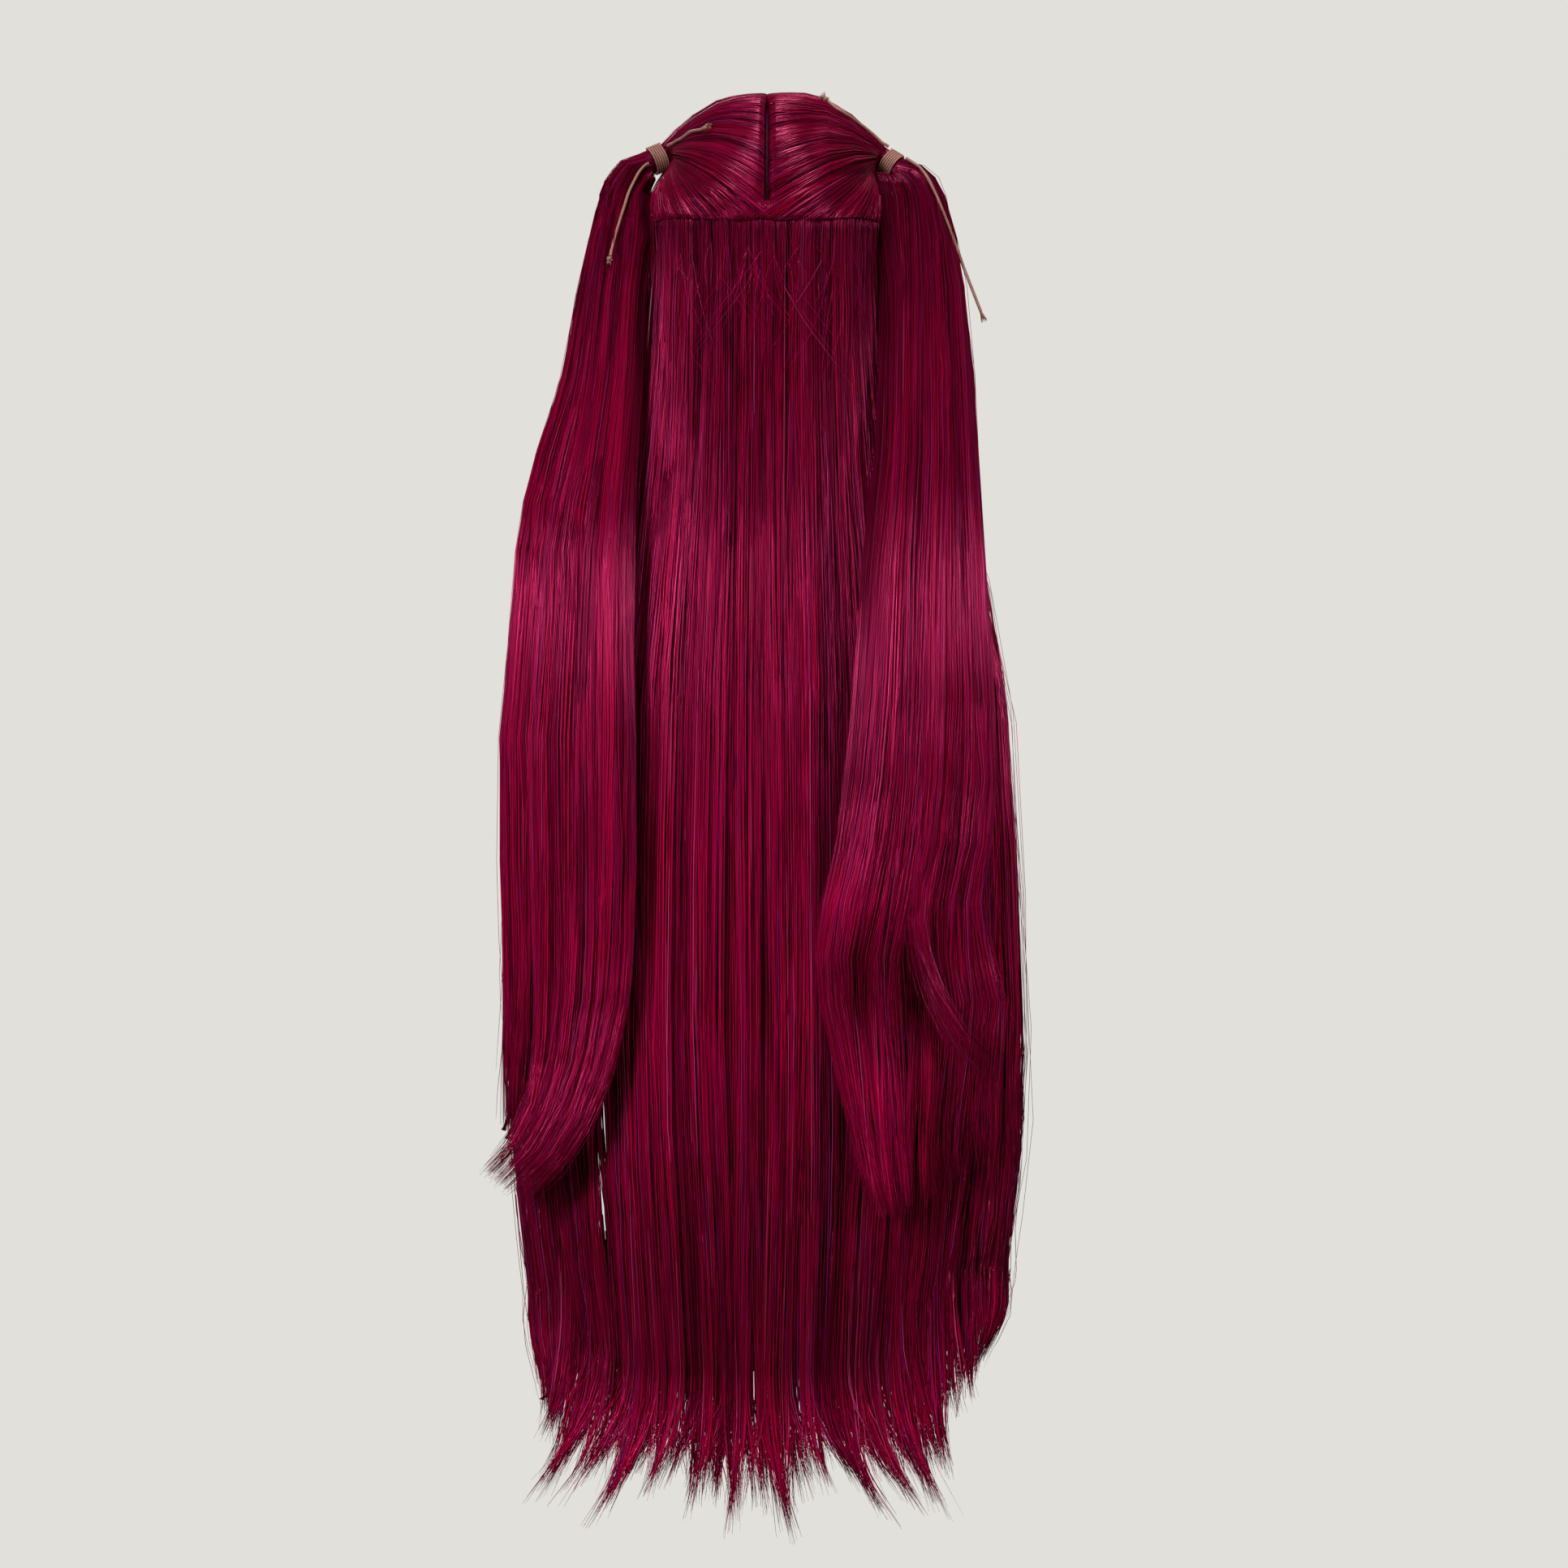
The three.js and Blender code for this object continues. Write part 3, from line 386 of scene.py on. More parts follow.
def core_finish(name, uv_map, stretch):
    """Hair below the surface, painted dark as shade, streaked along the way that the stretch leaves long.

    The streaks follow the named UV map, or the object's own axes where there is none.
    """
    material, tree, shader = new_material(name, {
        "Specular IOR Level": CORE_SHINE,
        "Specular Tint": SHINE_TINT,
    })
    tone = add_hair_tone(tree, shader)
    # painted shade: the core gets one fixed dark shade
    tone.inputs["Shade"].default_value = CORE_SHADE / BRIGHTEST_SHADE
    if uv_map:
        place = add_node(tree, "UVMap", uv_map=uv_map)
    else:
        place = add_node(tree, "TexCoord")
    mapping = add_node(tree, "Mapping", {"Scale": stretch})
    streaks = add_node(tree, "TexNoise", CORE_NOISE)
    darker = add_node(tree, "MapRange", CORE_STREAKS)
    bump = add_node(tree, "Bump", CORE_BUMP)
    add_links(
        tree,
        (place, "UV" if uv_map else "Object", mapping, "Vector"),
        (mapping, "Vector", streaks, "Vector"),
        (streaks, "Fac", darker, "Value"),
        (darker, "Result", tone, "Tint"),
        (streaks, "Fac", bump, "Height"),
        (bump, "Normal", shader, "Normal"),
    )
    return material


def cord_finish():
    """Matte tan yarn with a fine grain and a few darker rubbed places."""
    material, tree, shader = new_material("waxed_cord", {"Roughness": CORD_ROUGHNESS})
    place = add_node(tree, "TexCoord")
    grain = add_node(tree, "TexNoise", CORD_GRAIN)
    rubbed = add_node(tree, "TexNoise", CORD_RUBBED)
    half = add_node(tree, "Math", {1: 0.5}, operation="MULTIPLY")
    mixed = add_node(tree, "Math", {1: 0.5}, operation="MULTIPLY_ADD")
    colour = add_node(tree, "ValToRGB")
    set_ramp(colour, CORD_TONES)
    bump = add_node(tree, "Bump", CORD_BUMP)
    add_links(
        tree,
        (place, "Object", grain, "Vector"),
        (place, "Object", rubbed, "Vector"),
        (rubbed, "Fac", half, 0),
        (grain, "Fac", mixed, 0),
        (half, "Value", mixed, 2),
        (mixed, "Value", colour, "Fac"),
        (colour, "Color", shader, "Base Color"),
        (grain, "Fac", bump, "Height"),
        (bump, "Normal", shader, "Normal"),
    )
    return material


STRAND_MATERIAL = strand_finish()
HANGING_CORE_MATERIAL = core_finish("hair_core_hanging", None, HANGING_STRETCH)
SWEPT_CORE_MATERIAL = core_finish("hair_core_swept", "flow", SWEPT_STRETCH)
CORD_MATERIAL = cord_finish()
print("materials:", [material.name for material in bpy.data.materials])

# %% [markdown]
# ## Helpers
# A few small functions come back in every step: soft steps between two values, and what turns a curve or the
# copy of a solid into a finished piece. Where the facets of a copied solid meet, its corners are doubled, so
# they are merged first.

# %% Define the helpers
SHORTEST = 1e-9
MERGE_DISTANCE = 0.01
CONVERTED_SEGMENTS = 2


def unit(vectors):
    """The same directions at length one."""
    return vectors / np.maximum(np.linalg.norm(vectors, axis=-1, keepdims=True), SHORTEST)


def mix(start, end, share):
    """A value between two others."""
    return start + (end - start) * share


def smooth(start, end, value):
    """A soft step from 0 at start to 1 at end."""
    share = np.clip((value - start) / (end - start), 0, 1)
    return share * share * (3 - 2 * share)


def swell(form, z):
    """A form's share at a height: none at its from and its end, all of it between its full and its ebb."""
    return smooth(form["from"], form["full"], z) * smooth(form["end"], form["ebb"], z)


def hold_last(values, count):
    """The same rows with their last value repeated that many times."""
    return np.concatenate([values, np.repeat(values[:, -1:], count, axis=1)], axis=1)


def finish_piece(piece, node, material):
    """Gives a piece its material and its body, and hides the solid that it stands for."""
    piece.data.materials.clear()
    piece.data.materials.append(material)
    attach(piece, "root")
    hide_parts(node)
    return piece


def make_active(piece):
    """Selects one piece alone, for the operators that follow."""
    bpy.ops.object.select_all(action="DESELECT")
    piece.select_set(True)
    bpy.context.view_layer.objects.active = piece


def curve_to_mesh(piece):
    """Turns a curve into a smoothly shaded mesh with few faces."""
    piece.data.resolution_u = CONVERTED_SEGMENTS
    make_active(piece)
    bpy.ops.object.convert(target="MESH")
    bpy.ops.object.shade_smooth()


def solid_copy(node, name, as_quads=False):
    """A copy of a solid, with its doubled corners merged."""
    piece = add_object(name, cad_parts[node].data.copy())
    make_active(piece)
    bpy.ops.object.mode_set(mode="EDIT")
    bpy.ops.mesh.select_all(action="SELECT")
    bpy.ops.mesh.remove_doubles(threshold=MERGE_DISTANCE * MM)
    if as_quads:
        bpy.ops.mesh.tris_convert_to_quads()
    bpy.ops.object.mode_set(mode="OBJECT")
    return piece


print("helpers ready, corners merge within", MERGE_DISTANCE, "mm")

# %% [markdown]
# ## Fibres from arrays
# A strand of hair is a thin closed tube that tapers to its tip. Adding thousands of tubes by hand would take
# for ever, and a particle system isn't a mesh that can be kept, so the tubes are worked out as arrays and
# become one joined mesh. Three sides are enough for a fibre that is about a pixel wide, because smooth
# shading makes it look round and gives hair its long bright bands.

# %% Strand tools
SIDES = 3
TINT_WIDTH = 0.01
MAP_MARGIN = 0.002


def strand_corners(paths, radii):
    """The corners of each tube: a ring of three round every point of its path, without twist."""
    tangent = unit(np.gradient(paths, axis=1))
    side = np.empty_like(paths)
    spin = random.normal(size=paths[:, 0].shape)
    side[:, 0] = unit(np.cross(tangent[:, 0], spin))
    for i in range(1, paths.shape[1]):
        carried = side[:, i - 1]
        slope = np.sum(carried * tangent[:, i], axis=-1, keepdims=True)
        side[:, i] = unit(carried - slope * tangent[:, i])
    up = np.cross(tangent, side)
    turn = np.arange(SIDES) * 2 * np.pi / SIDES
    ring = side[:, :, None] * np.cos(turn)[:, None] + up[:, :, None] * np.sin(turn)[:, None]
    return paths[:, :, None] + radii[:, :, None, None] * ring


def strand_faces(count, points):
    """Four-cornered faces along each tube and a triangle at each end, as corner numbers."""
    strand = np.arange(count)[:, None, None] * points * SIDES
    ring = np.arange(points - 1)[None, :, None] * SIDES
    here = np.arange(SIDES)[None, None, :]
    following = (here + 1) % SIDES
    walls = [strand + ring + here, strand + ring + following]
    walls += [walls[1] + SIDES, walls[0] + SIDES]
    root = strand[:, :, 0] + np.array([2, 1, 0])
    tip = strand[:, :, 0] + (points - 1) * SIDES + np.array([0, 1, 2])
    return np.stack(walls, axis=-1).reshape(-1, 4), np.concatenate([root, tip])


def strand_map(tints, shades):
    """Each face corner's place on the map: the tint across and the shade upwards."""
    count, points = shades.shape
    shades = shades / BRIGHTEST_SHADE
    across = np.linspace(-TINT_WIDTH, TINT_WIDTH, SIDES + 1)
    left = np.broadcast_to(tints[:, None, None] + across[:-1], (count, points - 1, SIDES))
    right = np.broadcast_to(tints[:, None, None] + across[1:], (count, points - 1, SIDES))
    low = np.broadcast_to(shades[:, :-1, None], left.shape)
    high = np.broadcast_to(shades[:, 1:, None], left.shape)
    walls = np.stack([left, low, right, low, right, high, left, high], axis=-1).reshape(-1, 2)
    ends = []
    for shade in (shades[:, 0], shades[:, -1]):
        corner = np.stack([tints[:, None] + across[:SIDES], np.repeat(shade[:, None], SIDES, 1)], axis=-1)
        ends.append(corner.reshape(-1, 2))
    return np.clip(np.concatenate([walls, *ends]), MAP_MARGIN, 1 - MAP_MARGIN)


def strand_piece(name, node, paths, thickness, tints, shades, tip=0.15, taper=4):
    """One mesh of fibres along the paths, from a root radius down to a share of it at the tip.

    The higher the taper, the nearer to the tip the fibre gets thin.
    """
    count, points = paths.shape[:2]
    steps = np.linalg.norm(np.diff(paths, axis=1), axis=-1)
    along = np.concatenate([np.zeros((count, 1)), np.cumsum(steps, axis=1)], axis=1)
    along = along / along[:, -1:]
    radii = thickness[:, None] * mix(1, tip, along ** taper)
    corners = strand_corners(paths, radii)
    walls, ends = strand_faces(count, points)
    mesh = bpy.data.meshes.new(name)
    mesh.from_pydata((corners * MM).reshape(-1, 3), [], walls.tolist() + ends.tolist())
    places = strand_map(tints, shades).astype(np.float32).ravel()
    for layer_name in ("strand", "OFBake"):
        mesh.uv_layers.new(name=layer_name).uv.foreach_set("vector", places)
    rounded = np.arange(len(walls) + len(ends)) < len(walls)
    mesh.polygons.foreach_set("use_smooth", rounded)
    piece = finish_piece(add_object(name, mesh), node, STRAND_MATERIAL)
    print(name, "has", count, "strands and", len(walls) * 2 + len(ends), "triangles")
    return piece


print("strand tools ready, for tubes with", SIDES, "sides")

# %% [markdown]
# ## Tints, stray hairs and cores
# Strands of one clump share a tint, with a few plum and rose ones among them, and hair that lies deeper gets
# a darker painted shade. Some strands are turned into thin flyaway hairs, so that the surface doesn't look
# combed.
# Below the strands lies a core, which is a copy of the solid that is moved inwards.

# %% Tint and core tools
FLYAWAY_RADIUS = 0.18
# painted shade: how much darker each millimetre of depth makes the hair, and the limits of that shade
DEPTH_SHADE = 0.11
DEPTH_SHADE_LIMITS = (0.35, 1.35)
# plum and rose strands are the fibre's own mix; the rose ones also stand in for single hairs that catch the
# light, as painted highlight
TINTS = {
    "spread": 0.07, "highest": 0.8,
    "plum_below": 0.04, "plum": (0.86, 0.95), "rose_above": 0.97, "rose": (0.95, 1),
}
STRAY = {"waves": (0.8, 2.2), "spread": (1, 0.6, 0.3), "root": 0.2}
TIP_BLEND = 40


def depth_shade(inset):
    """The painted shade of hair that lies that far inside the outer face: the deeper, the darker."""
    return np.clip(1 - DEPTH_SHADE * inset, *DEPTH_SHADE_LIMITS)


def strand_tints(clump_tints):
    """A tint for each strand, near that of its clump, with a few plum and rose ones."""
    tints = clump_tints + random.normal(0, TINTS["spread"], clump_tints.shape)
    tints = np.clip(tints, 0, TINTS["highest"])
    chance = random.random(clump_tints.shape)
    tints = np.where(chance < TINTS["plum_below"], random.uniform(*TINTS["plum"], tints.shape), tints)
    return np.where(chance > TINTS["rose_above"], random.uniform(*TINTS["rose"], tints.shape), tints)


def let_stray(paths, thickness, chance, width):
    """Turns some of the strands into thin flyaway hairs that wave out of their place."""
    chosen = random.random(len(paths)) < chance
    count = chosen.sum()
    down = np.linspace(0, 1, paths.shape[1])[None, :, None]
    for waves in STRAY["waves"]:
        towards = random.normal(0, width / (1 + waves), (count, 1, 3)) * np.array(STRAY["spread"])
        turn = waves * down + random.random((count, 1, 1))
        paths[chosen] += towards * np.sin(2 * np.pi * turn) * smooth(0, STRAY["root"], down)
    thickness[chosen] = FLYAWAY_RADIUS


def draw_hair(name, node, paths, shades, clump_tints, hair):
    """Draws strands whose tint is near that of their clump, and lets a few of them stray."""
    tints = strand_tints(clump_tints)
    thickness = random.uniform(*hair["thickness"], len(paths))
    let_stray(paths, thickness, *hair["straying"])
    strand_piece(name, node, paths, thickness, tints, shades, tip=hair["tip"], taper=hair["taper"])


def draw_in(mesh, depth, tips_below, tips_share, tips_x=None):
    """Moves a mesh inwards by a depth and shrinks what lies below a height to a share of its size.

    With a tips_x, that part also gets narrower towards this x.
    """
    corners = np.array([vertex.co for vertex in mesh.vertices]) / MM
    corners -= depth * np.array([vertex.normal for vertex in mesh.vertices])
    below = tips_below - corners[:, 2]
    share = mix(1, tips_share, smooth(0, TIP_BLEND, below))
    corners[:, 2] = np.where(below > 0, tips_below - below * share, corners[:, 2])
    if tips_x is not None:
        corners[:, 0] = mix(tips_x, corners[:, 0], share)
    mesh.vertices.foreach_set("co", (corners * MM).ravel())
    mesh.update()


def core_from_node(node, name, material, **depths):
    """A slightly smaller copy of a solid, which lies below the strands."""
    core = solid_copy(node, name)
    draw_in(core.data, **depths)
    bpy.ops.object.shade_smooth()
    finish_piece(core, node, material)
    print(name, "has", len(core.data.polygons), "faces")
    return core


print("tint and core tools ready, shades from", *DEPTH_SHADE_LIMITS)

# %% [markdown]
# ## The head and the ties
# The swept-up hair follows the head, a rounded ellipsoid, until it is drawn into the round of a tie. Both are
# given as formulas, so that a hair can be placed by its direction from the head's centre or by its angle
# round a tie.

# %% Place the head and the ties
HEAD = {"centre_z": -95, "half_width": 71, "half_depth": 90, "above": 95, "below": 120, "roundness": 2.3}
HEAD_CENTRE = np.array([0, 0, HEAD["centre_z"]])
TIE = {"neck_radius": 8.2, "turns": 6, "pitch": 2, "gap": 0.3}
TIE_HALF_LENGTH = (TIE["pitch"] * (TIE["turns"] - 1) + CORD_DIAMETER) / 2
TIES = {
    "left": {"side": -1, "centre": (-75.6, -22, -32.6), "axis": (-0.89, -0.27, -0.36), "bulge": 2.5},
    "right": {"side": 1, "centre": (85.9, -22, -36.7), "axis": (0.8, -0.35, -0.49), "bulge": 8},
}


def direction(azimuth, polar):
    """A direction from the head's centre: azimuth 0 is the nape, polar 0 the top, both in degrees."""
    azimuth = np.radians(azimuth)
    polar = np.radians(polar)
    flat = np.sin(polar)
    return np.stack([flat * np.sin(azimuth), -flat * np.cos(azimuth), np.cos(polar)], axis=-1)


def head_point(towards, lift):
    """The point of the head in that direction, raised by the lift."""
    height = np.where(towards[..., 2] > 0, HEAD["above"], HEAD["below"])
    power = HEAD["roundness"]
    size = np.abs(towards[..., 0] / HEAD["half_width"]) ** power
    size = size + np.abs(towards[..., 1] / HEAD["half_depth"]) ** power
    size = size + np.abs(towards[..., 2] / height) ** power
    return HEAD_CENTRE + towards * (size ** (-1 / power) + lift)[..., None]


def tie_frame(name):
    """The tie's centre and its three directions: along the bunch, up and forward."""
    along = unit(np.array(TIES[name]["axis"]))
    up = unit(np.array([0, 0, 1]) - along[2] * along)
    forward = np.array([0, 1, 0]) - along[1] * along
    forward = unit(forward - np.dot(forward, up) * up)
    return np.array(TIES[name]["centre"]), along, up, forward


def tie_circle(name, distance, angle, radius):
    """A point round the tie's bunch, at a distance along it."""
    centre, along, up, forward = tie_frame(name)
    round_bunch = up * np.cos(angle)[..., None] + forward * np.sin(angle)[..., None]
    return centre + along * distance + round_bunch * np.asarray(radius)[..., None]


print("ties:", list(TIES), "each", round(2 * TIE_HALF_LENGTH, 1), "mm long")

# %% [markdown]
# ## The swept-up hair
# Each half of the crown starts at the parting, at the rolled lower edge and at the front hairline, and every
# hair runs the short way round the head to its tie. It rises out of the parting over a small round edge, runs
# at its depth above the cap, and is drawn into the round of the tie.

# %% Lead the hair to the ties
CAP_TOP = 3.3
PARTING = {"front": -60, "back": 76, "share": 0.48, "crossing": 5, "crossing_reach": 25}
PARTING_GAP = {"front": -0.3, "back": 0.9, "from": 8, "to": 30}
CROWN = {
    "parting_depth": 10, "parting_start": 5, "parting_top_start": 9, "edge_start": 11, "hairline_start": 1.2,
    "edge_radius": 5, "edge_wave": 1, "edge_wave_step": 9,
    "thinning": 0.6, "thin_from": 0.4, "thin_to": 0.9, "gather_from": 0.35, "bulge_skew": 1.6,
}
CROWN_EDGE_AZIMUTH = [0, 45, 90, 125, 150, 180]
CROWN_EDGE_POLAR = [80, 80, 78, 75, 66, 60]
CROWN_EDGE_DEPTH = [12.5, 13, 10.5, 7, 6, 7]
HAIRLINE_AZIMUTHS = (90, 130)
NECK_INSET = 0.4


def crown_edge(side, share):
    """Where a hair starts, for its share of the way along the parting and back along the lower edge."""
    on_parting = share < PARTING["share"]
    along = mix(PARTING["front"], PARTING["back"], share / PARTING["share"])
    azimuth = 180 * np.clip((share - PARTING["share"]) / (1 - PARTING["share"]), 0, 1)
    polar = np.interp(azimuth, CROWN_EDGE_AZIMUTH, CROWN_EDGE_POLAR)
    polar = polar + CROWN["edge_wave"] * np.sin(azimuth / CROWN["edge_wave_step"])
    depth = np.interp(azimuth, CROWN_EDGE_AZIMUTH, CROWN_EDGE_DEPTH)
    start = mix(CROWN["edge_start"], CROWN["hairline_start"], smooth(*HAIRLINE_AZIMUTHS, azimuth))
    crossing = PARTING["crossing"] * (1 - smooth(0, PARTING["crossing_reach"], azimuth))
    from_edge = direction(side * (azimuth - crossing), polar)
    from_parting = direction(0, along)
    opened = smooth(PARTING_GAP["from"], PARTING_GAP["to"], along)
    half_gap = mix(PARTING_GAP["front"], PARTING_GAP["back"], opened)
    from_parting[..., 0] = side * half_gap / HEAD["above"]
    towards = unit(np.where(on_parting[..., None], from_parting, from_edge))
    depth = np.where(on_parting, CROWN["parting_depth"], depth)
    parting_start = mix(CROWN["parting_top_start"], CROWN["parting_start"], opened)
    return towards, depth, np.where(on_parting, parting_start, start), on_parting


def crown_paths(name, edge_share, depth_share, shares):
    """The way of each hair from the edge to the tie, as (strand, point, 3)."""
    centre, along, up, forward = tie_frame(name)
    mouth = -TIE_HALF_LENGTH - 2 * TIE["gap"]
    foot = unit(centre + along * mouth - HEAD_CENTRE)
    foot_up = unit(up - np.dot(up, foot) * foot)
    foot_forward = forward - np.dot(forward, foot) * foot
    foot_forward = unit(foot_forward - np.dot(foot_forward, foot_up) * foot_up)
    towards, depth, start, on_parting = crown_edge(TIES[name]["side"], edge_share)
    angle = np.arctan2(towards @ foot_forward, towards @ foot_up)
    length = HEAD["half_depth"] * np.arccos(np.clip(towards @ foot, -1, 1))
    edge = np.clip(shares * length / CROWN["edge_radius"], 0, 1)
    rounded = np.sqrt(1 - (1 - edge) ** 2)
    thinned = 1 - CROWN["thinning"] * ~on_parting * smooth(CROWN["thin_from"], CROWN["thin_to"], shares)
    lifted = TIES[name]["bulge"] * on_parting * np.sin(np.pi * shares ** CROWN["bulge_skew"])
    lift = CAP_TOP + mix(start, depth * thinned, rounded) * depth_share + lifted * depth_share
    on_head = head_point(unit(mix(towards, foot, shares[..., None])), lift)
    at_tie = tie_circle(name, mouth, angle, TIE["neck_radius"] * depth_share)
    paths = mix(on_head, at_tie, smooth(CROWN["gather_from"], 1, shares)[..., None])
    neck_radius = TIE["neck_radius"] * depth_share[:, -1:] - NECK_INSET
    neck = tie_circle(name, 0, angle[:, -1:], neck_radius)
    return np.concatenate([paths, neck], axis=1)


print("parting over", PARTING["back"] - PARTING["front"], "degrees of the head")

# %% [markdown]
# ## The crown's strands
# Hair keeps together in clumps, and single strands stray a little from them. Strands alone would let light
# through, so they lie over a core whose streaks follow a map that runs towards the tie.

# %% Draw the crown's strands
CROWN_STRANDS = 1450
CROWN_SHARES = np.array([0, 0.015, 0.035, 0.065, 0.11, 0.18, 0.28, 0.4, 0.53, 0.66, 0.79, 0.91, 1])
CROWN_CLUMPS = 210
CROWN_RIPPLE = 0.018
CROWN_EDGE_FRAY = 0.025
CROWN_HAIR = {
    # the tint is a middle and a spread, the thickness two limits, straying a chance and a width
    "stray": 0.004, "clump_depth": 0.03, "depth": 0.04, "tint": (0.5, 0.13), "thickness": (0.24, 0.42),
    "straying": (0.03, 1.5), "tip": 0.6, "taper": 4, "edge_shades": (0.6, 1.15), "edge_reach": 0.08,
}
EDGE_MARGIN = 1e-6
# painted shade along each hair, from its start to the tie: a little darker where it starts, darkest at the
# tie
CROWN_SHADES = ([0, 0.1, 0.6, 0.9, 1], [0.8, 1, 0.9, 0.75, 0.6])
CROWN_CORE = {"depth": 2.5, "tips_below": -100, "tips_share": 1}
FLOW_SCALE = 10


def crown_strands(name):
    """The hair of one half: clumps that keep together and strands that stray a little from them."""
    clump = random.integers(0, CROWN_CLUMPS, CROWN_STRANDS)
    within = random.uniform(-0.5, 0.5, CROWN_STRANDS)
    start = (clump + 0.5 + within) / CROWN_CLUMPS
    on_parting = start[:, None] < PARTING["share"]
    first = np.where(on_parting, 0, random.uniform(0, CROWN_EDGE_FRAY, (CROWN_STRANDS, 1)))
    shares = mix(first, 1, CROWN_SHARES)
    stray = random.normal(0, CROWN_HAIR["stray"], (CROWN_STRANDS, 1)) * np.sin(np.pi * shares)
    edge_share = start[:, None] + stray
    edge_share = np.where(on_parting, np.clip(edge_share, 0, PARTING["share"] - EDGE_MARGIN), edge_share)
    edge_share = np.where(on_parting, edge_share, np.clip(edge_share, PARTING["share"], 1))
    clump_depth = random.normal(0, CROWN_HAIR["clump_depth"], CROWN_CLUMPS)[clump]
    depth_share = 1 + clump_depth - np.abs(random.normal(0, CROWN_HAIR["depth"], CROWN_STRANDS))
    ripple = random.normal(0, CROWN_RIPPLE, (CROWN_CLUMPS, len(CROWN_SHARES)))[clump]
    depth_share = depth_share[:, None] + ripple * np.sin(np.pi * shares)
    paths = crown_paths(name, edge_share, depth_share, shares)
    # painted shade: deeper hair and hair near the tie are painted darker, the roots at the rolled edge darker
    # and the rest of the edge hair a little lighter
    shades = depth_shade(CROWN["parting_depth"] * (1 - depth_share)) * np.interp(shares, *CROWN_SHADES)
    edge_shade = mix(*CROWN_HAIR["edge_shades"], smooth(0, CROWN_HAIR["edge_reach"], shares))
    shades = hold_last(shades * np.where(on_parting, 1, edge_shade), 1)
    tints = random.normal(*CROWN_HAIR["tint"], CROWN_CLUMPS)[clump]
    draw_hair("crown_strands_" + name, "crown_" + name, paths, shades, tints, CROWN_HAIR)


def flow_map(core, name):
    """A map for a crown's core: the angle round the tie across, and the distance from the tie upwards."""
    centre, _, up, forward = tie_frame(name)
    corners = np.array([vertex.co for vertex in core.data.vertices]) / MM - centre
    angle = np.arctan2(corners @ forward, corners @ up) / (2 * np.pi)
    distance = np.linalg.norm(corners, axis=1) * MM * FLOW_SCALE
    places = np.stack([angle, distance], axis=-1)
    loops = np.zeros(len(core.data.loops), np.int32)
    core.data.loops.foreach_get("vertex_index", loops)
    layer = core.data.uv_layers.new(name="flow")
    layer.uv.foreach_set("vector", places[loops].astype(np.float32).ravel())


for name in TIES:
    core = core_from_node("crown_" + name, "crown_core_" + name, SWEPT_CORE_MATERIAL, **CROWN_CORE)
    flow_map(core, name)
    crown_strands(name)

# %% [markdown]
# ## The plan of the loose hair
# The lower wefts let the hair fall straight down. Seen from above it is a rounded half-ring that opens
# towards the front, and it widens as it comes over the shoulders. A hair keeps its share of the way round
# that ring on its way down, so it hangs almost plumb.

# %% Lay out the plan
LOOSE_LEVELS = np.array([
    # z, half width, side edge y, depth behind the edge
    (-908, 152, -73, 40),
    (-872, 156, -72, 42),
    (-820, 162, -68, 47),
    (-753, 170, -65, 51),
    (-690, 177, -62, 54),
    (-570, 173, -58, 62),
    (-460, 169, -54, 67),
    (-390, 163, -48, 69),
    (-316, 149, -38, 70),
    (-260, 123, -22, 77),
    (-204, 96, 0, 99),
    (-150, 85, 12, 116),
    (-97, 84, 16, 120),
    (-87, 80, 16, 115),
])
SIDE_FILL = {"width": 3, "from": -330, "full": -230}
SIDE_HOLLOW = {
    # how deep it is, its heights, and the shares of the way round between which it grows and ends
    "depth": 6, "from": -140, "full": -250, "ebb": -270, "end": -390,
    "grows": (0.2, 0.4), "ends": (0.8, 0.5),
}
PLAN_STEPS = 64
PLAN_SAMPLES = 181


def loose_level(z):
    """The plan's half width, edge and depth at a height."""
    return [np.interp(z, LOOSE_LEVELS[:, 0], column) for column in LOOSE_LEVELS.T[1:]]


def plan_point(angle, half_width, edge_y, depth):
    """A place on the rounded half-ring. Angle 0 is the middle of the back."""
    power = 2 / HEAD["roundness"]
    x = np.sign(angle) * half_width * np.abs(np.sin(angle)) ** power
    y = edge_y - depth * np.maximum(np.cos(angle), 0) ** power
    return x, y


def plan_angles():
    """For each level, the angle at each share of the way from the middle to the side edge."""
    angles = np.linspace(0, np.pi / 2, PLAN_SAMPLES)
    table = []
    for half_width, edge_y, depth in LOOSE_LEVELS[:, 1:]:
        x, y = plan_point(angles, half_width, edge_y, depth)
        way = np.concatenate([[0], np.cumsum(np.hypot(np.diff(x), np.diff(y)))])
        table.append(np.interp(np.linspace(0, 1, PLAN_STEPS + 1), way / way[-1], angles))
    return np.array(table)


PLAN_ANGLES = plan_angles()


def loose_angle(share, z):
    """The angle in the plan at a height for a share of the way round, from -1 to 1."""
    row = np.interp(z, LOOSE_LEVELS[:, 0], np.arange(len(LOOSE_LEVELS)))
    column = np.clip(np.abs(share), 0, 1) * PLAN_STEPS
    low_row = np.minimum(row.astype(int), len(LOOSE_LEVELS) - 2)
    low_column = np.minimum(column.astype(int), PLAN_STEPS - 1)
    row_share = row - low_row
    column_share = column - low_column
    near = mix(PLAN_ANGLES[low_row, low_column], PLAN_ANGLES[low_row, low_column + 1], column_share)
    far = mix(PLAN_ANGLES[low_row + 1, low_column], PLAN_ANGLES[low_row + 1, low_column + 1], column_share)
    return np.sign(share) * mix(near, far, row_share)


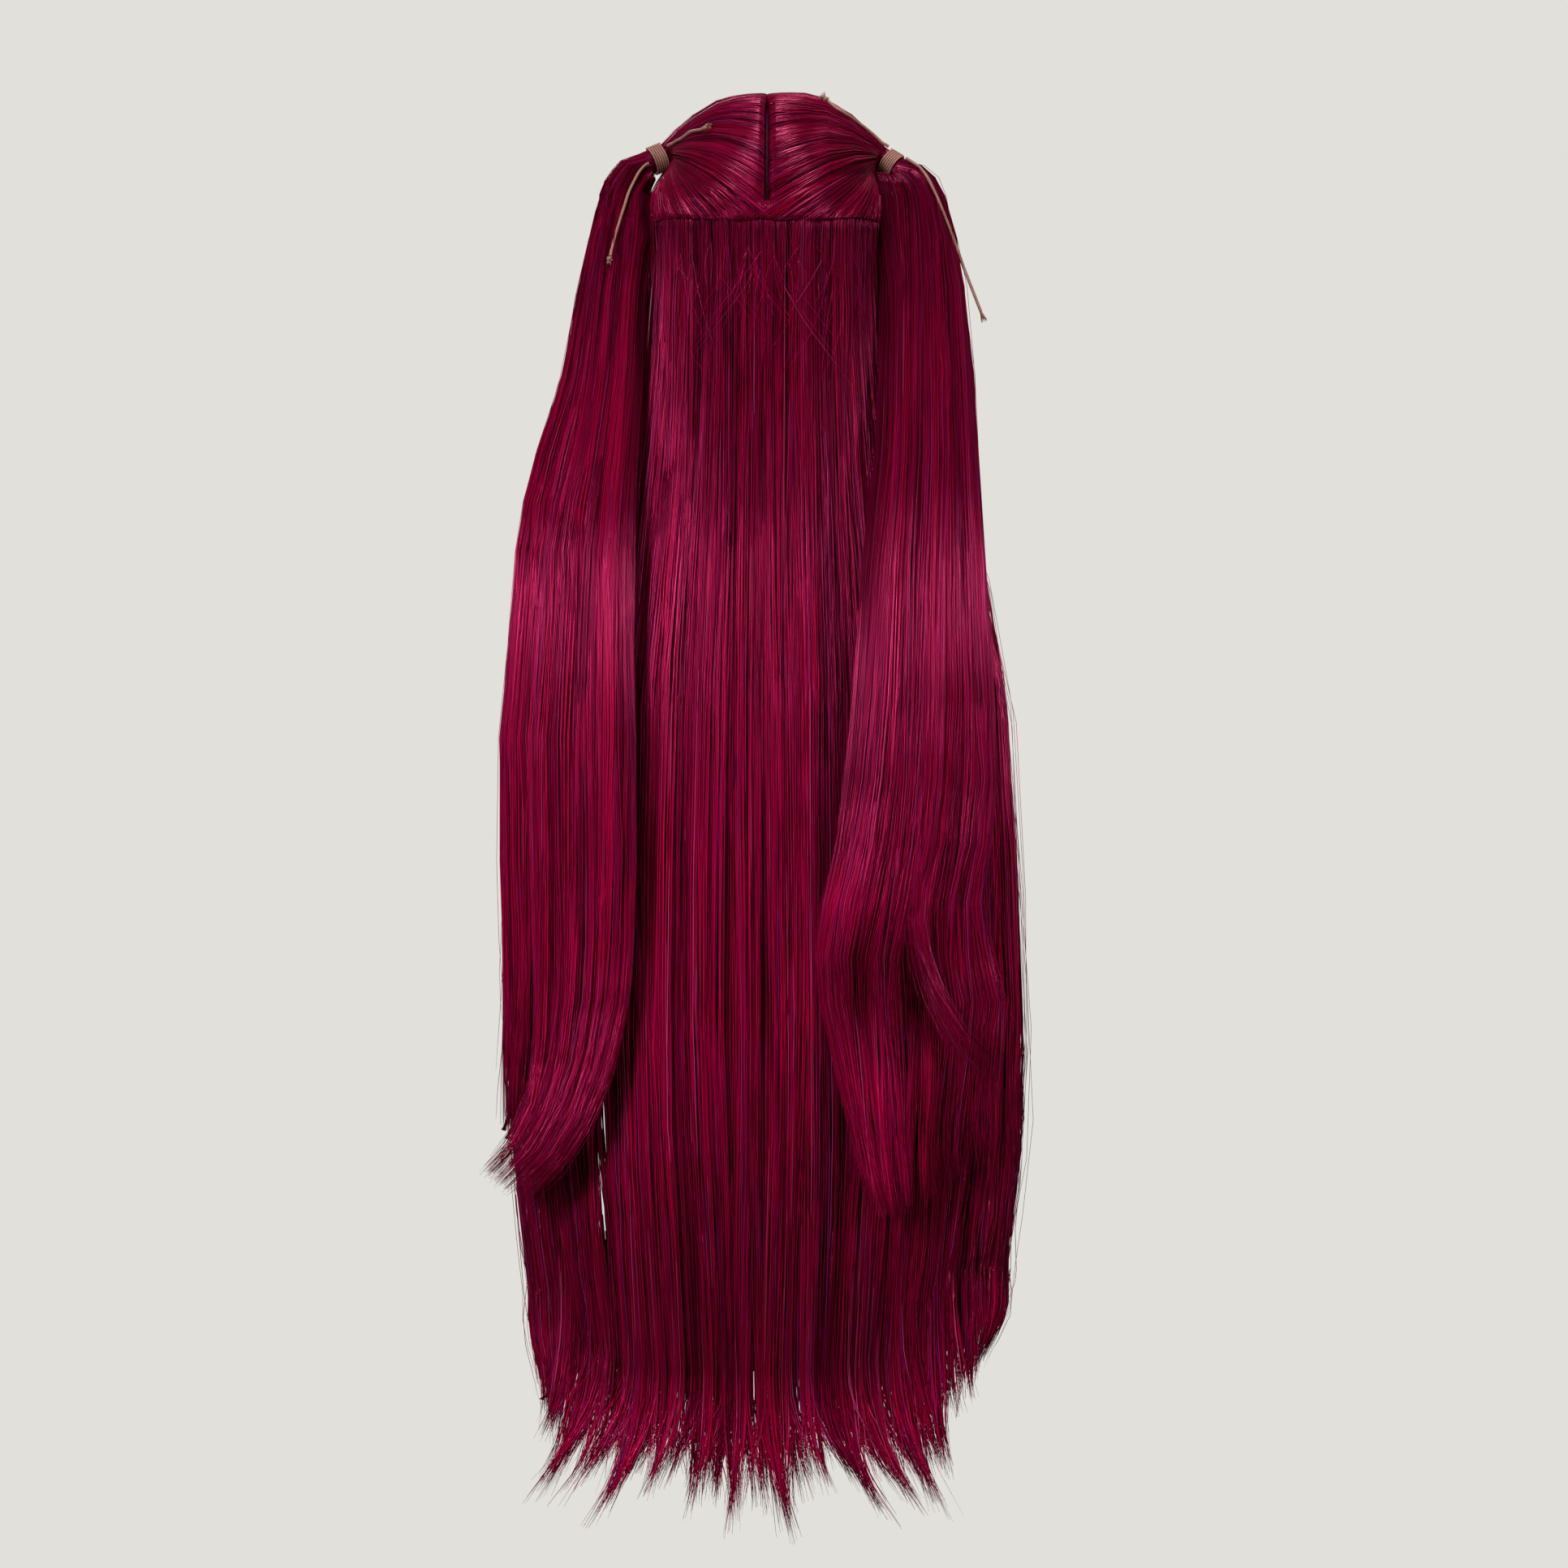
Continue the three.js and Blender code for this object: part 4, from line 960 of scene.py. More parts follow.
def loose_point(share, z, inset):
    """A point of the loose hair at a height, that far inside its outer face."""
    half_width, edge_y, depth = loose_level(z)
    half_width = half_width + SIDE_FILL["width"] * smooth(SIDE_FILL["from"], SIDE_FILL["full"], z)
    around = np.abs(share)
    hollow = swell(SIDE_HOLLOW, z) * smooth(*SIDE_HOLLOW["grows"], around)
    hollow = hollow * smooth(*SIDE_HOLLOW["ends"], around)
    inset = inset + SIDE_HOLLOW["depth"] * hollow
    x, y = plan_point(loose_angle(share, z), half_width - inset, edge_y, depth - inset)
    return np.stack([x, y, z], axis=-1)


print("plan of the loose hair:", PLAN_ANGLES.shape, "levels and steps")

# %% [markdown]
# ## Locks and slits
# Near the bottom the hair gathers into tapered locks, with a second layer of shorter ones behind. Each hair
# joins a lock near it and follows it towards its tip. In two places the fall has parted into a narrow slit,
# which some of the hairs cross.

# %% Lead the loose hair to its locks
LOOSE_LOCKS = np.array([
    # root x, root z, tip x, tip z, half width
    (-149, -815, -147, -901, 12),
    (-122, -850, -156, -950, 11),
    (-106, -862, -138, -953, 12),
    (-88, -868, -115, -967, 13),
    (-66, -868, -84, -952, 14),
    (-43, -868, -54, -962, 14),
    (-20, -868, -22, -975, 14),
    (3, -868, 17, -981, 14),
    (26, -868, 42, -950, 14),
    (49, -868, 82, -967, 14),
    (71, -862, 104, -961, 13),
    (92, -855, 118, -963, 12),
    (111, -830, 125, -938, 12),
    (133, -800, 139, -888, 12),
])
LOCK_SHARES = np.array([0, 0.25, 0.5, 0.75, 1])
LOCK = {
    "gather": 0.85, "gather_from": 0.2, "step": 14, "choice": 8, "shorter": 0.15, "lengths": (0.2, 1.1),
    "front_y": -3, "back_y": 1.5, "tip_painted_light": 3.2, "shade_power": 1.5,
}
LOOSE_SLITS = [
    {"x": -112, "top": -650, "bottom": -805, "half_width": 1.5, "crossing": 0.6},
    {"x": 104, "top": -745, "bottom": -845, "half_width": 4, "crossing": 0.4},
]
SLIT_REACH = 4
LOOSE_HEIGHTS = np.array([-64, -72, -84, -104, -140, -190, -245, -310, -400, -520, -630, -720, -785])
LOOSE_UNEVEN = {"by": 25, "from": -140, "full": -310}
LOOSE_DRAWN_IN = (
    [-460, -390, -316, -260, -204, -150, -97, -87, -72, -64],
    [0, 1, 1.5, -3, -2.5, 1.2, 1, -4, -3.5, -1.5],
)
SIDE_RISE = {"left": 7, "right": 12, "from": -140, "shares": (0.75, 0.95)}


def hair_locks():
    """The measured locks, and behind each two of them a shorter one."""
    between = (LOOSE_LOCKS[:-1] + LOOSE_LOCKS[1:]) / 2
    between[:, 3] += LOCK["step"]
    return np.concatenate([LOOSE_LOCKS, between])


HAIR_LOCKS = hair_locks()


def part_at_slits(paths):
    """Pushes hair aside where it has parted, apart from a share of it that crosses the slit."""
    for slit in LOOSE_SLITS:
        reach = SLIT_REACH * slit["half_width"]
        aside = paths[..., 0] - slit["x"]
        middle = (slit["top"] + slit["bottom"]) / 2
        opening = 1 - np.abs(paths[..., 2] - middle) / (slit["top"] - middle)
        push = slit["half_width"] * np.clip(opening, 0, 1) * np.clip(1 - np.abs(aside) / reach, 0, 1)
        pushed = random.random((len(paths), 1)) > slit["crossing"]
        paths[..., 0] += np.sign(aside) * push * pushed


def loose_paths(share, inset, length, stray):
    """The way of each loose hair: down the plan to its lock, then along the lock to its tip."""
    count = len(length)
    at_side = smooth(*SIDE_RISE["shares"], np.abs(share[:, :1]))
    rise = np.where(share[:, :1] < 0, SIDE_RISE["left"], SIDE_RISE["right"]) * at_side
    heights = LOOSE_HEIGHTS + rise * smooth(SIDE_RISE["from"], LOOSE_HEIGHTS[0], LOOSE_HEIGHTS)
    uneven = random.uniform(-LOOSE_UNEVEN["by"], LOOSE_UNEVEN["by"], (count, 1))
    heights = heights + uneven * smooth(LOOSE_UNEVEN["from"], LOOSE_UNEVEN["full"], LOOSE_HEIGHTS)
    falling = loose_point(share[:, :-1], heights, inset[:, :-1] + np.interp(heights, *LOOSE_DRAWN_IN))
    end = loose_point(share[:, -1], np.full(count, LOOSE_LOCKS[:, 1].mean()), inset[:, -1])
    nearby = end[:, :1] + random.normal(0, LOCK["choice"], (count, 1))
    lock = np.argmin(np.abs(nearby - HAIR_LOCKS[:, 0]), axis=1)
    in_front = lock < len(LOOSE_LOCKS)
    root_x, root_z, tip_x, tip_z, half_width = HAIR_LOCKS[lock].T
    start = loose_point(share[:, -1], root_z, inset[:, -1])
    offset = start[:, 0] - root_x
    shorter = LOCK["shorter"] * np.abs(offset) / half_width
    along = LOCK_SHARES[None, :] * np.clip(length - shorter, *LOCK["lengths"])[:, None]
    gather = 1 - LOCK["gather"] * smooth(LOCK["gather_from"], 1, along)
    x = root_x[:, None] + (tip_x - root_x)[:, None] * along ** 2 + offset[:, None] * gather
    x = x + stray[:, None] * along ** 2
    z = root_z[:, None] + (tip_z - root_z)[:, None] * along
    y = start[:, 1:2] + np.where(in_front, LOCK["front_y"], LOCK["back_y"])[:, None] * along
    return np.concatenate([falling, np.stack([x, y, z], axis=-1)], axis=1)


print("locks:", len(HAIR_LOCKS), "slits:", len(LOOSE_SLITS))

# %% [markdown]
# ## Bunches of loose hair
# Long hair falls apart into bunches of unequal width with grooves between them. A bunch is made up of
# clusters that sway together, and each cluster has its own tint, depth and length.

# %% Gather the bunches
LOOSE_BUNCHES = 30
LOOSE_CLUSTERS = 380
BUNCH = {
    # shares of the way down where a thing grows or ends, and middles and spreads or limits as pairs
    "uneven": 0.35, "place": (0.2, 0.8), "messy": 0.007, "messy_end": 0.4,
    "tightness": (1.05, 0.96), "tightens": (0.2, 0.9),
    "groove": 3.5, "groove_share": 0.2, "deepens": (0.2, 0.7),
    "layer": 0.5, "ripple": 1.4, "ripple_full": 0.12, "tint": (0.48, 0.06), "cluster_tint": 0.12,
    "aside": 3, "length": (0.82, 1.06),
}
BUNCH_SWAYS = [
    # waves on the way down, width, the share of the way where it starts
    (0.9, 0.012, 0.15),
    (2.3, 0.006, 0.4),
]
SWAY_SIZES = (0.4, 1)
SWAY_FULL = 0.8


def loose_bunches():
    """Bunches of unequal width and the clusters within them: places, waves, depths and tints."""
    edges = np.linspace(-1, 1, LOOSE_BUNCHES + 1)
    edges[1:-1] += random.uniform(-BUNCH["uneven"], BUNCH["uneven"], LOOSE_BUNCHES - 1) * 2 / LOOSE_BUNCHES
    start = np.arange(LOOSE_CLUSTERS) + random.uniform(*BUNCH["place"], LOOSE_CLUSTERS)
    start = start / LOOSE_CLUSTERS * 2 - 1
    bunch = np.clip(np.searchsorted(edges, start) - 1, 0, LOOSE_BUNCHES - 1)
    centre = (edges[:-1] + edges[1:])[bunch] / 2
    place = (start - centre) / np.diff(edges)[bunch] * 2
    down = np.append(LOOSE_HEIGHTS, LOOSE_LOCKS[:, 1].min())[None, :]
    down = (down - down[:, :1]) / (down[:, -1:] - down[:, :1])
    sway = 0
    for waves, width, first in BUNCH_SWAYS:
        phase = random.uniform(0, 2 * np.pi, (LOOSE_BUNCHES, 1))[bunch]
        size = random.uniform(*SWAY_SIZES, (LOOSE_BUNCHES, 1))[bunch]
        wave = np.sin(2 * np.pi * down * waves + phase)
        sway = sway + width * size * wave * smooth(first, SWAY_FULL, down)
    messy = random.normal(0, BUNCH["messy"], (LOOSE_CLUSTERS, 1)) * (1 - smooth(0, BUNCH["messy_end"], down))
    tight = mix(*BUNCH["tightness"], smooth(*BUNCH["tightens"], down))
    deep = mix(BUNCH["groove_share"], 1, smooth(*BUNCH["deepens"], down))
    groove = BUNCH["groove"] * (place ** 2)[:, None] * deep
    layer = random.normal(0, BUNCH["layer"], LOOSE_BUNCHES)[bunch][:, None]
    ripple = random.normal(0, BUNCH["ripple"], (LOOSE_CLUSTERS, down.shape[1]))
    ripple = ripple * smooth(0, BUNCH["ripple_full"], down)
    tint = random.normal(*BUNCH["tint"], LOOSE_BUNCHES)[bunch]
    tint = tint + random.normal(0, BUNCH["cluster_tint"], LOOSE_CLUSTERS)
    return {
        "share": centre[:, None] + (start - centre)[:, None] * tight + sway + messy,
        "inset": groove + layer + ripple,
        "tint": tint,
        "aside": random.normal(0, BUNCH["aside"], LOOSE_CLUSTERS),
        "length": random.uniform(*BUNCH["length"], LOOSE_CLUSTERS),
    }


bunches = loose_bunches()
print("bunches:", LOOSE_BUNCHES, "clusters:", LOOSE_CLUSTERS)

# %% [markdown]
# ## The loose strands
# The strands hang over a core that ends above the tips, and a painted shadow darkens them where the tails lie
# over them. The tips alone would look thin, so more short strands, with their roots inside the fall, fill
# them, and the tips are painted lighter and rosier, as painted light that shines through them.

# %% Draw the loose strands
LOOSE_STRANDS = 2600
LOOSE_HAIR = {
    "spread": 0.007, "waves": 1.3, "surface": 0.8, "inside_share": 0.13, "inside": 9.5,
    "longest": 1.08, "shorter": 0.45, "shorter_power": 1.6, "aside": 2.5, "widest": 0.995,
    "thickness": (0.24, 0.46), "edge": 0.93, "stray": 0.05, "edge_stray": 0.2, "stray_width": 6,
}
# the ends' rose is a shift of their tint towards rose, painted light as if light shone through the thin ends
LOOSE_ENDS = {"strands": 2600, "points": 7, "root_shift": 0.9, "roots": (4.5, 2), "thicker": 1.3, "rose": 0.2}
# painted shade at the ends' roots, which lie inside the fall
LOOSE_END_SHADES = np.array([0.4, 0.6, 0.8, 1, 1, 1, 1])
# painted light and shade by height: darker just below the roll, in a band near the top and above the tips,
# lighter lower down in the fall and at the tips
LOOSE_SHADES = (
    [-900, -860, -780, -650, -400, -220, -130, -75],
    [0.7, 0.52, 0.65, 1.2, 1.05, 0.85, 0.95, 0.8],
)
TAIL_SHADOW = {
    # heights, and where the inner edge of the tail lies that shades the loose hair there
    "left": ([-740, -692, -655, -626, -560, -283, -80], [-150, -127, -110, -100, -90, -91, -84]),
    "right": ([-745, -700, -665, -620, -560, -283, -80], [72, 58, 51, 45, 43, 67, 83]),
    "width": 12, "depth": 0.65, "from": -780, "full": -700,
}
LOOSE_CORE = {"depth": 3.5, "tips_below": -820, "tips_share": 0.54}


def loose_strands(bunches, count):
    """That many hairs of the fall: what strand_piece needs to draw them, and the cluster of each."""
    cluster = random.integers(0, LOOSE_CLUSTERS, count)
    points = bunches["share"].shape[1]
    down = np.linspace(0, 1, points)[None, :]
    own = random.normal(0, LOOSE_HAIR["spread"], (count, 1))
    own = own + own[::-1] * np.sin(2 * np.pi * (down * LOOSE_HAIR["waves"] + random.random((count, 1))))
    share = np.clip(bunches["share"][cluster] + own, -LOOSE_HAIR["widest"], LOOSE_HAIR["widest"])
    layer = np.abs(random.normal(0, 1, (count, 1))) - LOOSE_HAIR["surface"]
    inside = random.random((count, 1)) < LOOSE_HAIR["inside_share"]
    inset = np.where(inside, LOOSE_HAIR["inside"] + layer, bunches["inset"][cluster] + layer)
    shorter = LOOSE_HAIR["shorter"] * random.random(count) ** LOOSE_HAIR["shorter_power"]
    length = bunches["length"][cluster] * (LOOSE_HAIR["longest"] - shorter)
    aside = bunches["aside"][cluster] + random.normal(0, LOOSE_HAIR["aside"], count)
    paths = loose_paths(share, inset, length, aside)
    part_at_slits(paths)
    thickness = random.uniform(*LOOSE_HAIR["thickness"], count)
    at_edge = np.abs(bunches["share"][cluster, 0]) > LOOSE_HAIR["edge"]
    chance = LOOSE_HAIR["stray"] + LOOSE_HAIR["edge_stray"] * at_edge
    let_stray(paths, thickness, chance, LOOSE_HAIR["stray_width"])
    inset = hold_last(inset, len(LOCK_SHARES) - 1)
    # painted shade for deeper hair and painted light and shade by height, then painted light on the lock tips
    # and a painted shadow beside each tail's inner edge
    shades = depth_shade(inset) * np.interp(paths[..., 2], *LOOSE_SHADES)
    # painted light: towards their tips the locks are painted several times lighter, as if light shone through
    # them
    shades[:, -len(LOCK_SHARES):] *= mix(1, LOCK["tip_painted_light"], LOCK_SHARES ** LOCK["shade_power"])
    for name in ("left", "right"):
        aside = (paths[..., 0] - np.interp(paths[..., 2], *TAIL_SHADOW[name])) / TAIL_SHADOW["width"]
        covered = smooth(TAIL_SHADOW["from"], TAIL_SHADOW["full"], paths[..., 2])
        shades *= 1 - TAIL_SHADOW["depth"] * np.exp(-aside ** 2) * covered
    return {
        "cluster": cluster, "paths": paths, "thickness": thickness, "shades": shades,
        "tints": strand_tints(bunches["tint"][cluster]),
    }


def draw_fall(bunches):
    """The long hair, as a left and a right piece."""
    hair = loose_strands(bunches, LOOSE_STRANDS)
    on_left = hair.pop("cluster") < LOOSE_CLUSTERS / 2
    for name, chosen in (("left", on_left), ("right", ~on_left)):
        half = {key: values[chosen] for key, values in hair.items()}
        strand_piece("loose_strands_" + name, "loose_hair", **half, tip=0.2, taper=30)


def draw_ends(bunches):
    """Short strands that fill the tips, with their roots inside the fall."""
    ends = loose_strands(bunches, LOOSE_ENDS["strands"])
    ends.pop("cluster")
    paths = ends["paths"][:, -LOOSE_ENDS["points"]:]
    shift = random.uniform(0, LOOSE_ENDS["root_shift"], (LOOSE_ENDS["strands"], 1))
    paths[:, 0] = mix(paths[:, 0], paths[:, 1], shift)
    paths[:, :2, 1] += LOOSE_ENDS["roots"]
    ends["paths"] = paths
    ends["shades"] = ends["shades"][:, -LOOSE_ENDS["points"]:] * LOOSE_END_SHADES
    ends["thickness"] *= LOOSE_ENDS["thicker"]
    # painted light: a rosier tint, as if light shone through the thin ends
    ends["tints"] = np.clip(ends["tints"] + LOOSE_ENDS["rose"], 0, 1)
    strand_piece("loose_ends", "loose_hair", **ends, tip=0.2, taper=6)


core_from_node("loose_hair", "loose_core", HANGING_CORE_MATERIAL, **LOOSE_CORE)
draw_fall(bunches)
draw_ends(bunches)

# %% [markdown]
# ## The tails' sections
# Below each tie the bunch spreads into a flat tail that lies over the loose hair. A tail is a row of sections
# between an outer and an inner edge, and a hair keeps its place in the section as it goes down.

# %% Lay out the tails' sections
LOOSE_RIDGE = 1.3
WIDEST_SHARE = 0.95
LOOSE_TOP = -87
TAIL = {"ridges": 5, "ridge_share": 0.16, "yaw": 17, "lean": 0.25, "lean_from": -40, "lean_lowest": -80}
TAIL_REST_GAP = 3
TAIL_REST_REACH = 20
TAIL_REST_SAMPLES = 13
TAIL_SECTIONS = {
    # outer x, outer z, inner x, inner z, half depth
    "left": np.array([
        (-97, -34.6, -78.4, -46.5, 10),
        (-106, -48.6, -83, -56, 11),
        (-112, -64, -85, -66, 12),
        (-121, -87, -84.5, -87, 13),
        (-130, -126, -85, -126, 13.5),
        (-137, -165, -86, -165, 13.5),
        (-143, -204, -88, -204, 13.5),
        (-153, -238, -90, -238, 13),
        (-165, -271, -91, -271, 13),
        (-172, -305, -92, -305, 12.5),
        (-175, -350, -92, -350, 12),
        (-181, -406, -91, -406, 12),
        (-184, -462, -90, -462, 12),
        (-182, -518, -90, -518, 12),
        (-181, -574, -92, -574, 11.5),
        (-183, -630, -100, -626, 10),
        (-184, -672, -110, -655, 8.5),
        (-187, -702, -127, -692, 7),
    ]),
    "right": np.array([
        (106, -38, 83.4, -49, 10),
        (115, -46, 86.2, -56, 11),
        (122, -58.7, 86.8, -64, 12),
        (129, -86.7, 85, -86.7, 13),
        (135, -121.5, 82, -121.5, 13.5),
        (139, -157, 78.4, -157, 13.5),
        (143, -204, 77, -204, 13.5),
        (144, -238, 75, -238, 13),
        (147, -283, 68, -283, 13),
        (152, -350, 64, -350, 12.5),
        (155, -406, 59, -406, 12),
        (157, -462, 54, -462, 12),
        (155, -518, 47, -518, 12),
        (147, -574, 42, -574, 12),
        (140, -620, 45, -620, 11),
        (128, -665, 51, -665, 9.5),
        (121, -700, 58, -700, 8),
    ]),
}


def loose_outer_y(x, z):
    """The outer face of the loose hair at a place across it."""
    half_width, edge_y, depth = loose_level(z)
    share = np.minimum(WIDEST_SHARE, np.abs(x) / half_width)
    return edge_y - LOOSE_RIDGE - depth * (1 - share ** HEAD["roundness"]) ** (1 / HEAD["roundness"])


def tail_middles(name):
    """How far back each section hangs: it leans back as it falls and then lies on the loose hair."""
    outer_x, outer_z, inner_x, inner_z, depth = TAIL_SECTIONS[name].T[:, :, None, None]
    share = np.linspace(-1, 1, TAIL_REST_SAMPLES)[None, :, None]
    near = np.array([-TAIL_REST_REACH, 0, TAIL_REST_REACH])[None, None, :]
    middle_z = (outer_z + inner_z) / 2
    x = (outer_x + inner_x) / 2 + share * (outer_x - inner_x) / 2
    z = middle_z + share * (outer_z - inner_z) / 2 + near
    turned = share * np.abs(outer_x - inner_x) / 2 * math.tan(math.radians(TAIL["yaw"]))
    front = (1 + TAIL["ridge_share"]) * depth * np.sqrt(1 - share ** 2)
    over = (z < LOOSE_TOP) & (np.abs(x) < loose_level(z)[0] + LOOSE_RIDGE)
    resting = np.where(over, loose_outer_y(x, z) - TAIL_REST_GAP - turned - front, np.inf)
    leaning = TIES[name]["centre"][1] + TAIL["lean"] * np.minimum(0, middle_z[:, 0, 0] - TAIL["lean_from"])
    leaning = np.maximum(TAIL["lean_lowest"], leaning)
    return np.minimum(leaning, resting.min(axis=(1, 2)))


def curved(row, column):
    """A column's value at a row number, on a smooth curve through all its values."""
    slope = np.gradient(column)
    low = np.minimum(row.astype(int), len(column) - 2)
    share = row - low
    left = 1 - share
    value = column[low] * left ** 2 * (1 + 2 * share) + column[low + 1] * share ** 2 * (1 + 2 * left)
    return value + slope[low] * share * left ** 2 - slope[low + 1] * left * share ** 2


def tail_points(name, row, angle, inset):
    """Points of a tail at a row number and an angle round its section, that far inside its face."""
    sections = TAIL_SECTIONS[name]
    outer_x, outer_z, inner_x, inner_z, depth = [curved(row, column) for column in sections.T]
    middle_y = curved(row, tail_middles(name))
    half_x = (outer_x - inner_x) / 2
    half = np.stack([
        half_x, np.abs(half_x) * math.tan(math.radians(TAIL["yaw"])), (outer_z - inner_z) / 2,
    ], axis=-1)
    across = unit(half)
    forward = unit(np.array([0, 1, 0]) - across[..., 1:2] * across)
    middle = np.stack([(outer_x + inner_x) / 2, middle_y, (outer_z + inner_z) / 2], axis=-1)
    ridge = 1 + TAIL["ridge_share"] * np.cos(TAIL["ridges"] * angle)
    away = forward * ((depth * ridge - inset) * np.sin(angle))[..., None]
    return middle + (half - across * inset[..., None]) * np.cos(angle)[..., None] + away


print("sections of the tails:", [len(sections) for sections in TAIL_SECTIONS.values()])

# %% [markdown]
# ## Waves, hollows and tips of the tails
# The left tail ends in a flick that sweeps outwards, and the right one in waved locks. Small hollows,
# swellings and waves part the lower ends into locks, and patches of painted shade and painted highlight bring
# out their depth. The tails are also painted darker near their ties and along their inner edges and lighter
# at their tips, and the right tail darker than the left, as painted light and shade. From the last section a
# hair runs on to its tip in a smooth curve.

# %% Lead the tails' hair to its tips
TAIL_WAVES = {
    # the edge shares between which the wave grows, its height, its reach up and down, and its width
    "left": [
        {"from": 0.5, "to": 0.1, "z": -48, "reach": 20, "width": -5},
        {"from": 0.5, "to": 0.05, "z": -232, "reach": 32, "width": -5},
    ],
    "right": [
        {"from": 0.42, "to": 0.68, "z": -600, "reach": 52, "width": -8},
        {"from": 0.58, "to": 0.3, "z": -545, "reach": 40, "width": -6},
        {"from": 0.58, "to": 0.3, "z": -638, "reach": 42, "width": 9},
    ],
}
TAIL_RELIEF = {
    # the share across the tail, its width, the height, the reach up and down, and how deep a hollow is
    "left": [{"share": 0.29, "width": 0.05, "z": -690, "reach": 45, "depth": 3.5}],
    "right": [
        {"share": 0.42, "width": 0.1, "z": -612, "reach": 50, "depth": 4.5},
        {"share": 0.78, "width": 0.08, "z": -605, "reach": 32, "depth": 3},
        {"share": 0.88, "width": 0.13, "z": -548, "reach": 35, "depth": -5},
        {"share": 0.6, "width": 0.25, "z": -668, "reach": 30, "depth": -5},
    ],
}
TAIL_PAINTED_LIGHT = {
    # painted shade in hollows and gaps and painted highlight on swellings: x, z, half width, half height, and
    # how much brighter or darker the hair is painted there
    "left": [(-84, -75, 6, 30, -0.5)],
    "right": [
        (82, -85, 7, 35, -0.6),
        (100, -613, 13, 42, -0.72),
        (65, -603, 9, 32, -0.6),
        (56, -546, 15, 26, 0.6),
        (82, -672, 24, 24, 0.9),
        (84, -735, 26, 28, 0.8),
        (122, -700, 10, 35, -0.4),
    ],
}
TAIL_FILL_SHARE = 0.6
TAIL_FILL = {
    # how far the inner edge reaches over towards the crown, and the heights between which that grows and ends
    "left": {"width": 5, "from": -55, "full": -64, "ebb": -90, "end": -130, "rise": 0},
    "right": {"width": 15, "from": -30, "full": -44, "ebb": -60, "end": -150, "rise": 6},
}
TAIL_FRAY = {"left": 0, "right": 20, "share": 0.22, "from": -520, "full": -650}
TAIL_TIP = {"locks": 6, "gather": 0.4, "behind": 0.3, "in_front": 0.7, "spread": 2.5, "downwards": -0.6}
# painted shade for each tail as a whole, the right one darker
TAIL_PAINTED_SHADE = {"left": 0.92, "right": 0.77}
# painted light and shade by height: darker near the ties, lighter at the tips
TAIL_SHADES = ([-760, -725, -650, -300, -80, -40], [1.4, 1, 0.97, 1, 0.85, 0.65])
# painted shade along each tail's inner edge, where it lies against the loose hair
TAIL_EDGE_SHADE = {"depth": 0.6, "share": 0.86, "from": -600, "full": -450}


def hermite(start, start_way, end, end_way, share):
    """A smooth way from a start to an end, both left in their own direction, at shares of the way."""
    share = share[..., None]
    square = share ** 2
    cube = share ** 3
    way = start[:, None] * (2 * cube - 3 * square + 1) + start_way[:, None] * (cube - 2 * square + share)
    return way + end[:, None] * (3 * square - 2 * cube) + end_way[:, None] * (cube - square)


def tail_paths(name, angle, inset, rows, tip, tip_shares):
    """The way of each hair of a tail, down its sections and then on to its tip, and its shades."""
    share = (1 - np.cos(angle)) / 2
    heights = np.interp(rows, np.arange(len(TAIL_SECTIONS[name])), TAIL_SECTIONS[name][:, 1])
    for form in TAIL_RELIEF[name]:
        across = np.exp(-((share - form["share"]) / form["width"]) ** 2)
        inset = inset + form["depth"] * across * np.exp(-((heights - form["z"]) / form["reach"]) ** 2)
    falling = tail_points(name, np.broadcast_to(rows, angle.shape), angle, inset)
    fill = TAIL_FILL[name]
    grown = swell(fill, falling[..., 2]) * smooth(TAIL_FILL_SHARE, 1, share)
    falling[..., 0] -= TIES[name]["side"] * fill["width"] * grown
    falling[..., 2] += fill["rise"] * grown
    for wave in TAIL_WAVES[name]:
        grown = smooth(0, 1, (share - wave["from"]) / (wave["to"] - wave["from"]))
        height = np.exp(-((falling[..., 2] - wave["z"]) / wave["reach"]) ** 2)
        falling[..., 0] += wave["width"] * grown * height
    frayed = TAIL_FRAY[name] * random.random((len(angle), 1)) * smooth(TAIL_FRAY["share"], 0, share)
    falling[..., 0] += frayed * smooth(TAIL_FRAY["from"], TAIL_FRAY["full"], falling[..., 2])
    end = falling[:, -1]
    tip_x, tip_z, stands_off, points_to = tip.T
    goal = np.stack([tip_x + frayed[:, -1], end[:, 1] - stands_off, tip_z], axis=-1)
    distance = np.linalg.norm(goal - end, axis=-1, keepdims=True)
    level = np.zeros(len(tip))
    goal_way = unit(np.stack([points_to, level, level + TAIL_TIP["downwards"]], axis=-1)) * distance
    end_way = unit(end - falling[:, -2]) * distance
    paths = np.concatenate([falling, hermite(end, end_way, goal, goal_way, tip_shares)], axis=1)
    inset = hold_last(inset, tip_shares.shape[1])
    # painted shade for deeper hair, by height and for each tail, then painted shade at the inner edge and
    # painted patches of shade and highlight
    shades = TAIL_PAINTED_SHADE[name] * depth_shade(inset) * np.interp(paths[..., 2], *TAIL_SHADES)
    edge = TAIL_EDGE_SHADE
    darker = edge["depth"] * smooth(edge["share"], 1, share[:, :1])
    shades *= 1 - darker * smooth(edge["from"], edge["full"], paths[..., 2])
    for x, z, half_width, half_height, brighter in TAIL_PAINTED_LIGHT[name]:
        across = ((paths[..., 0] - x) / half_width) ** 2
        shades *= 1 + brighter * np.exp(-across - ((paths[..., 2] - z) / half_height) ** 2)
    return paths, shades


print("waves of the tails:", [len(waves) for waves in TAIL_WAVES.values()])

# %% [markdown]
# ## The tails' strands
# The clumps go all the way round a tail, with more of them on the side that is seen. Each hair starts inside
# its tie, so that no gap shows there, and runs down over the tail's core.

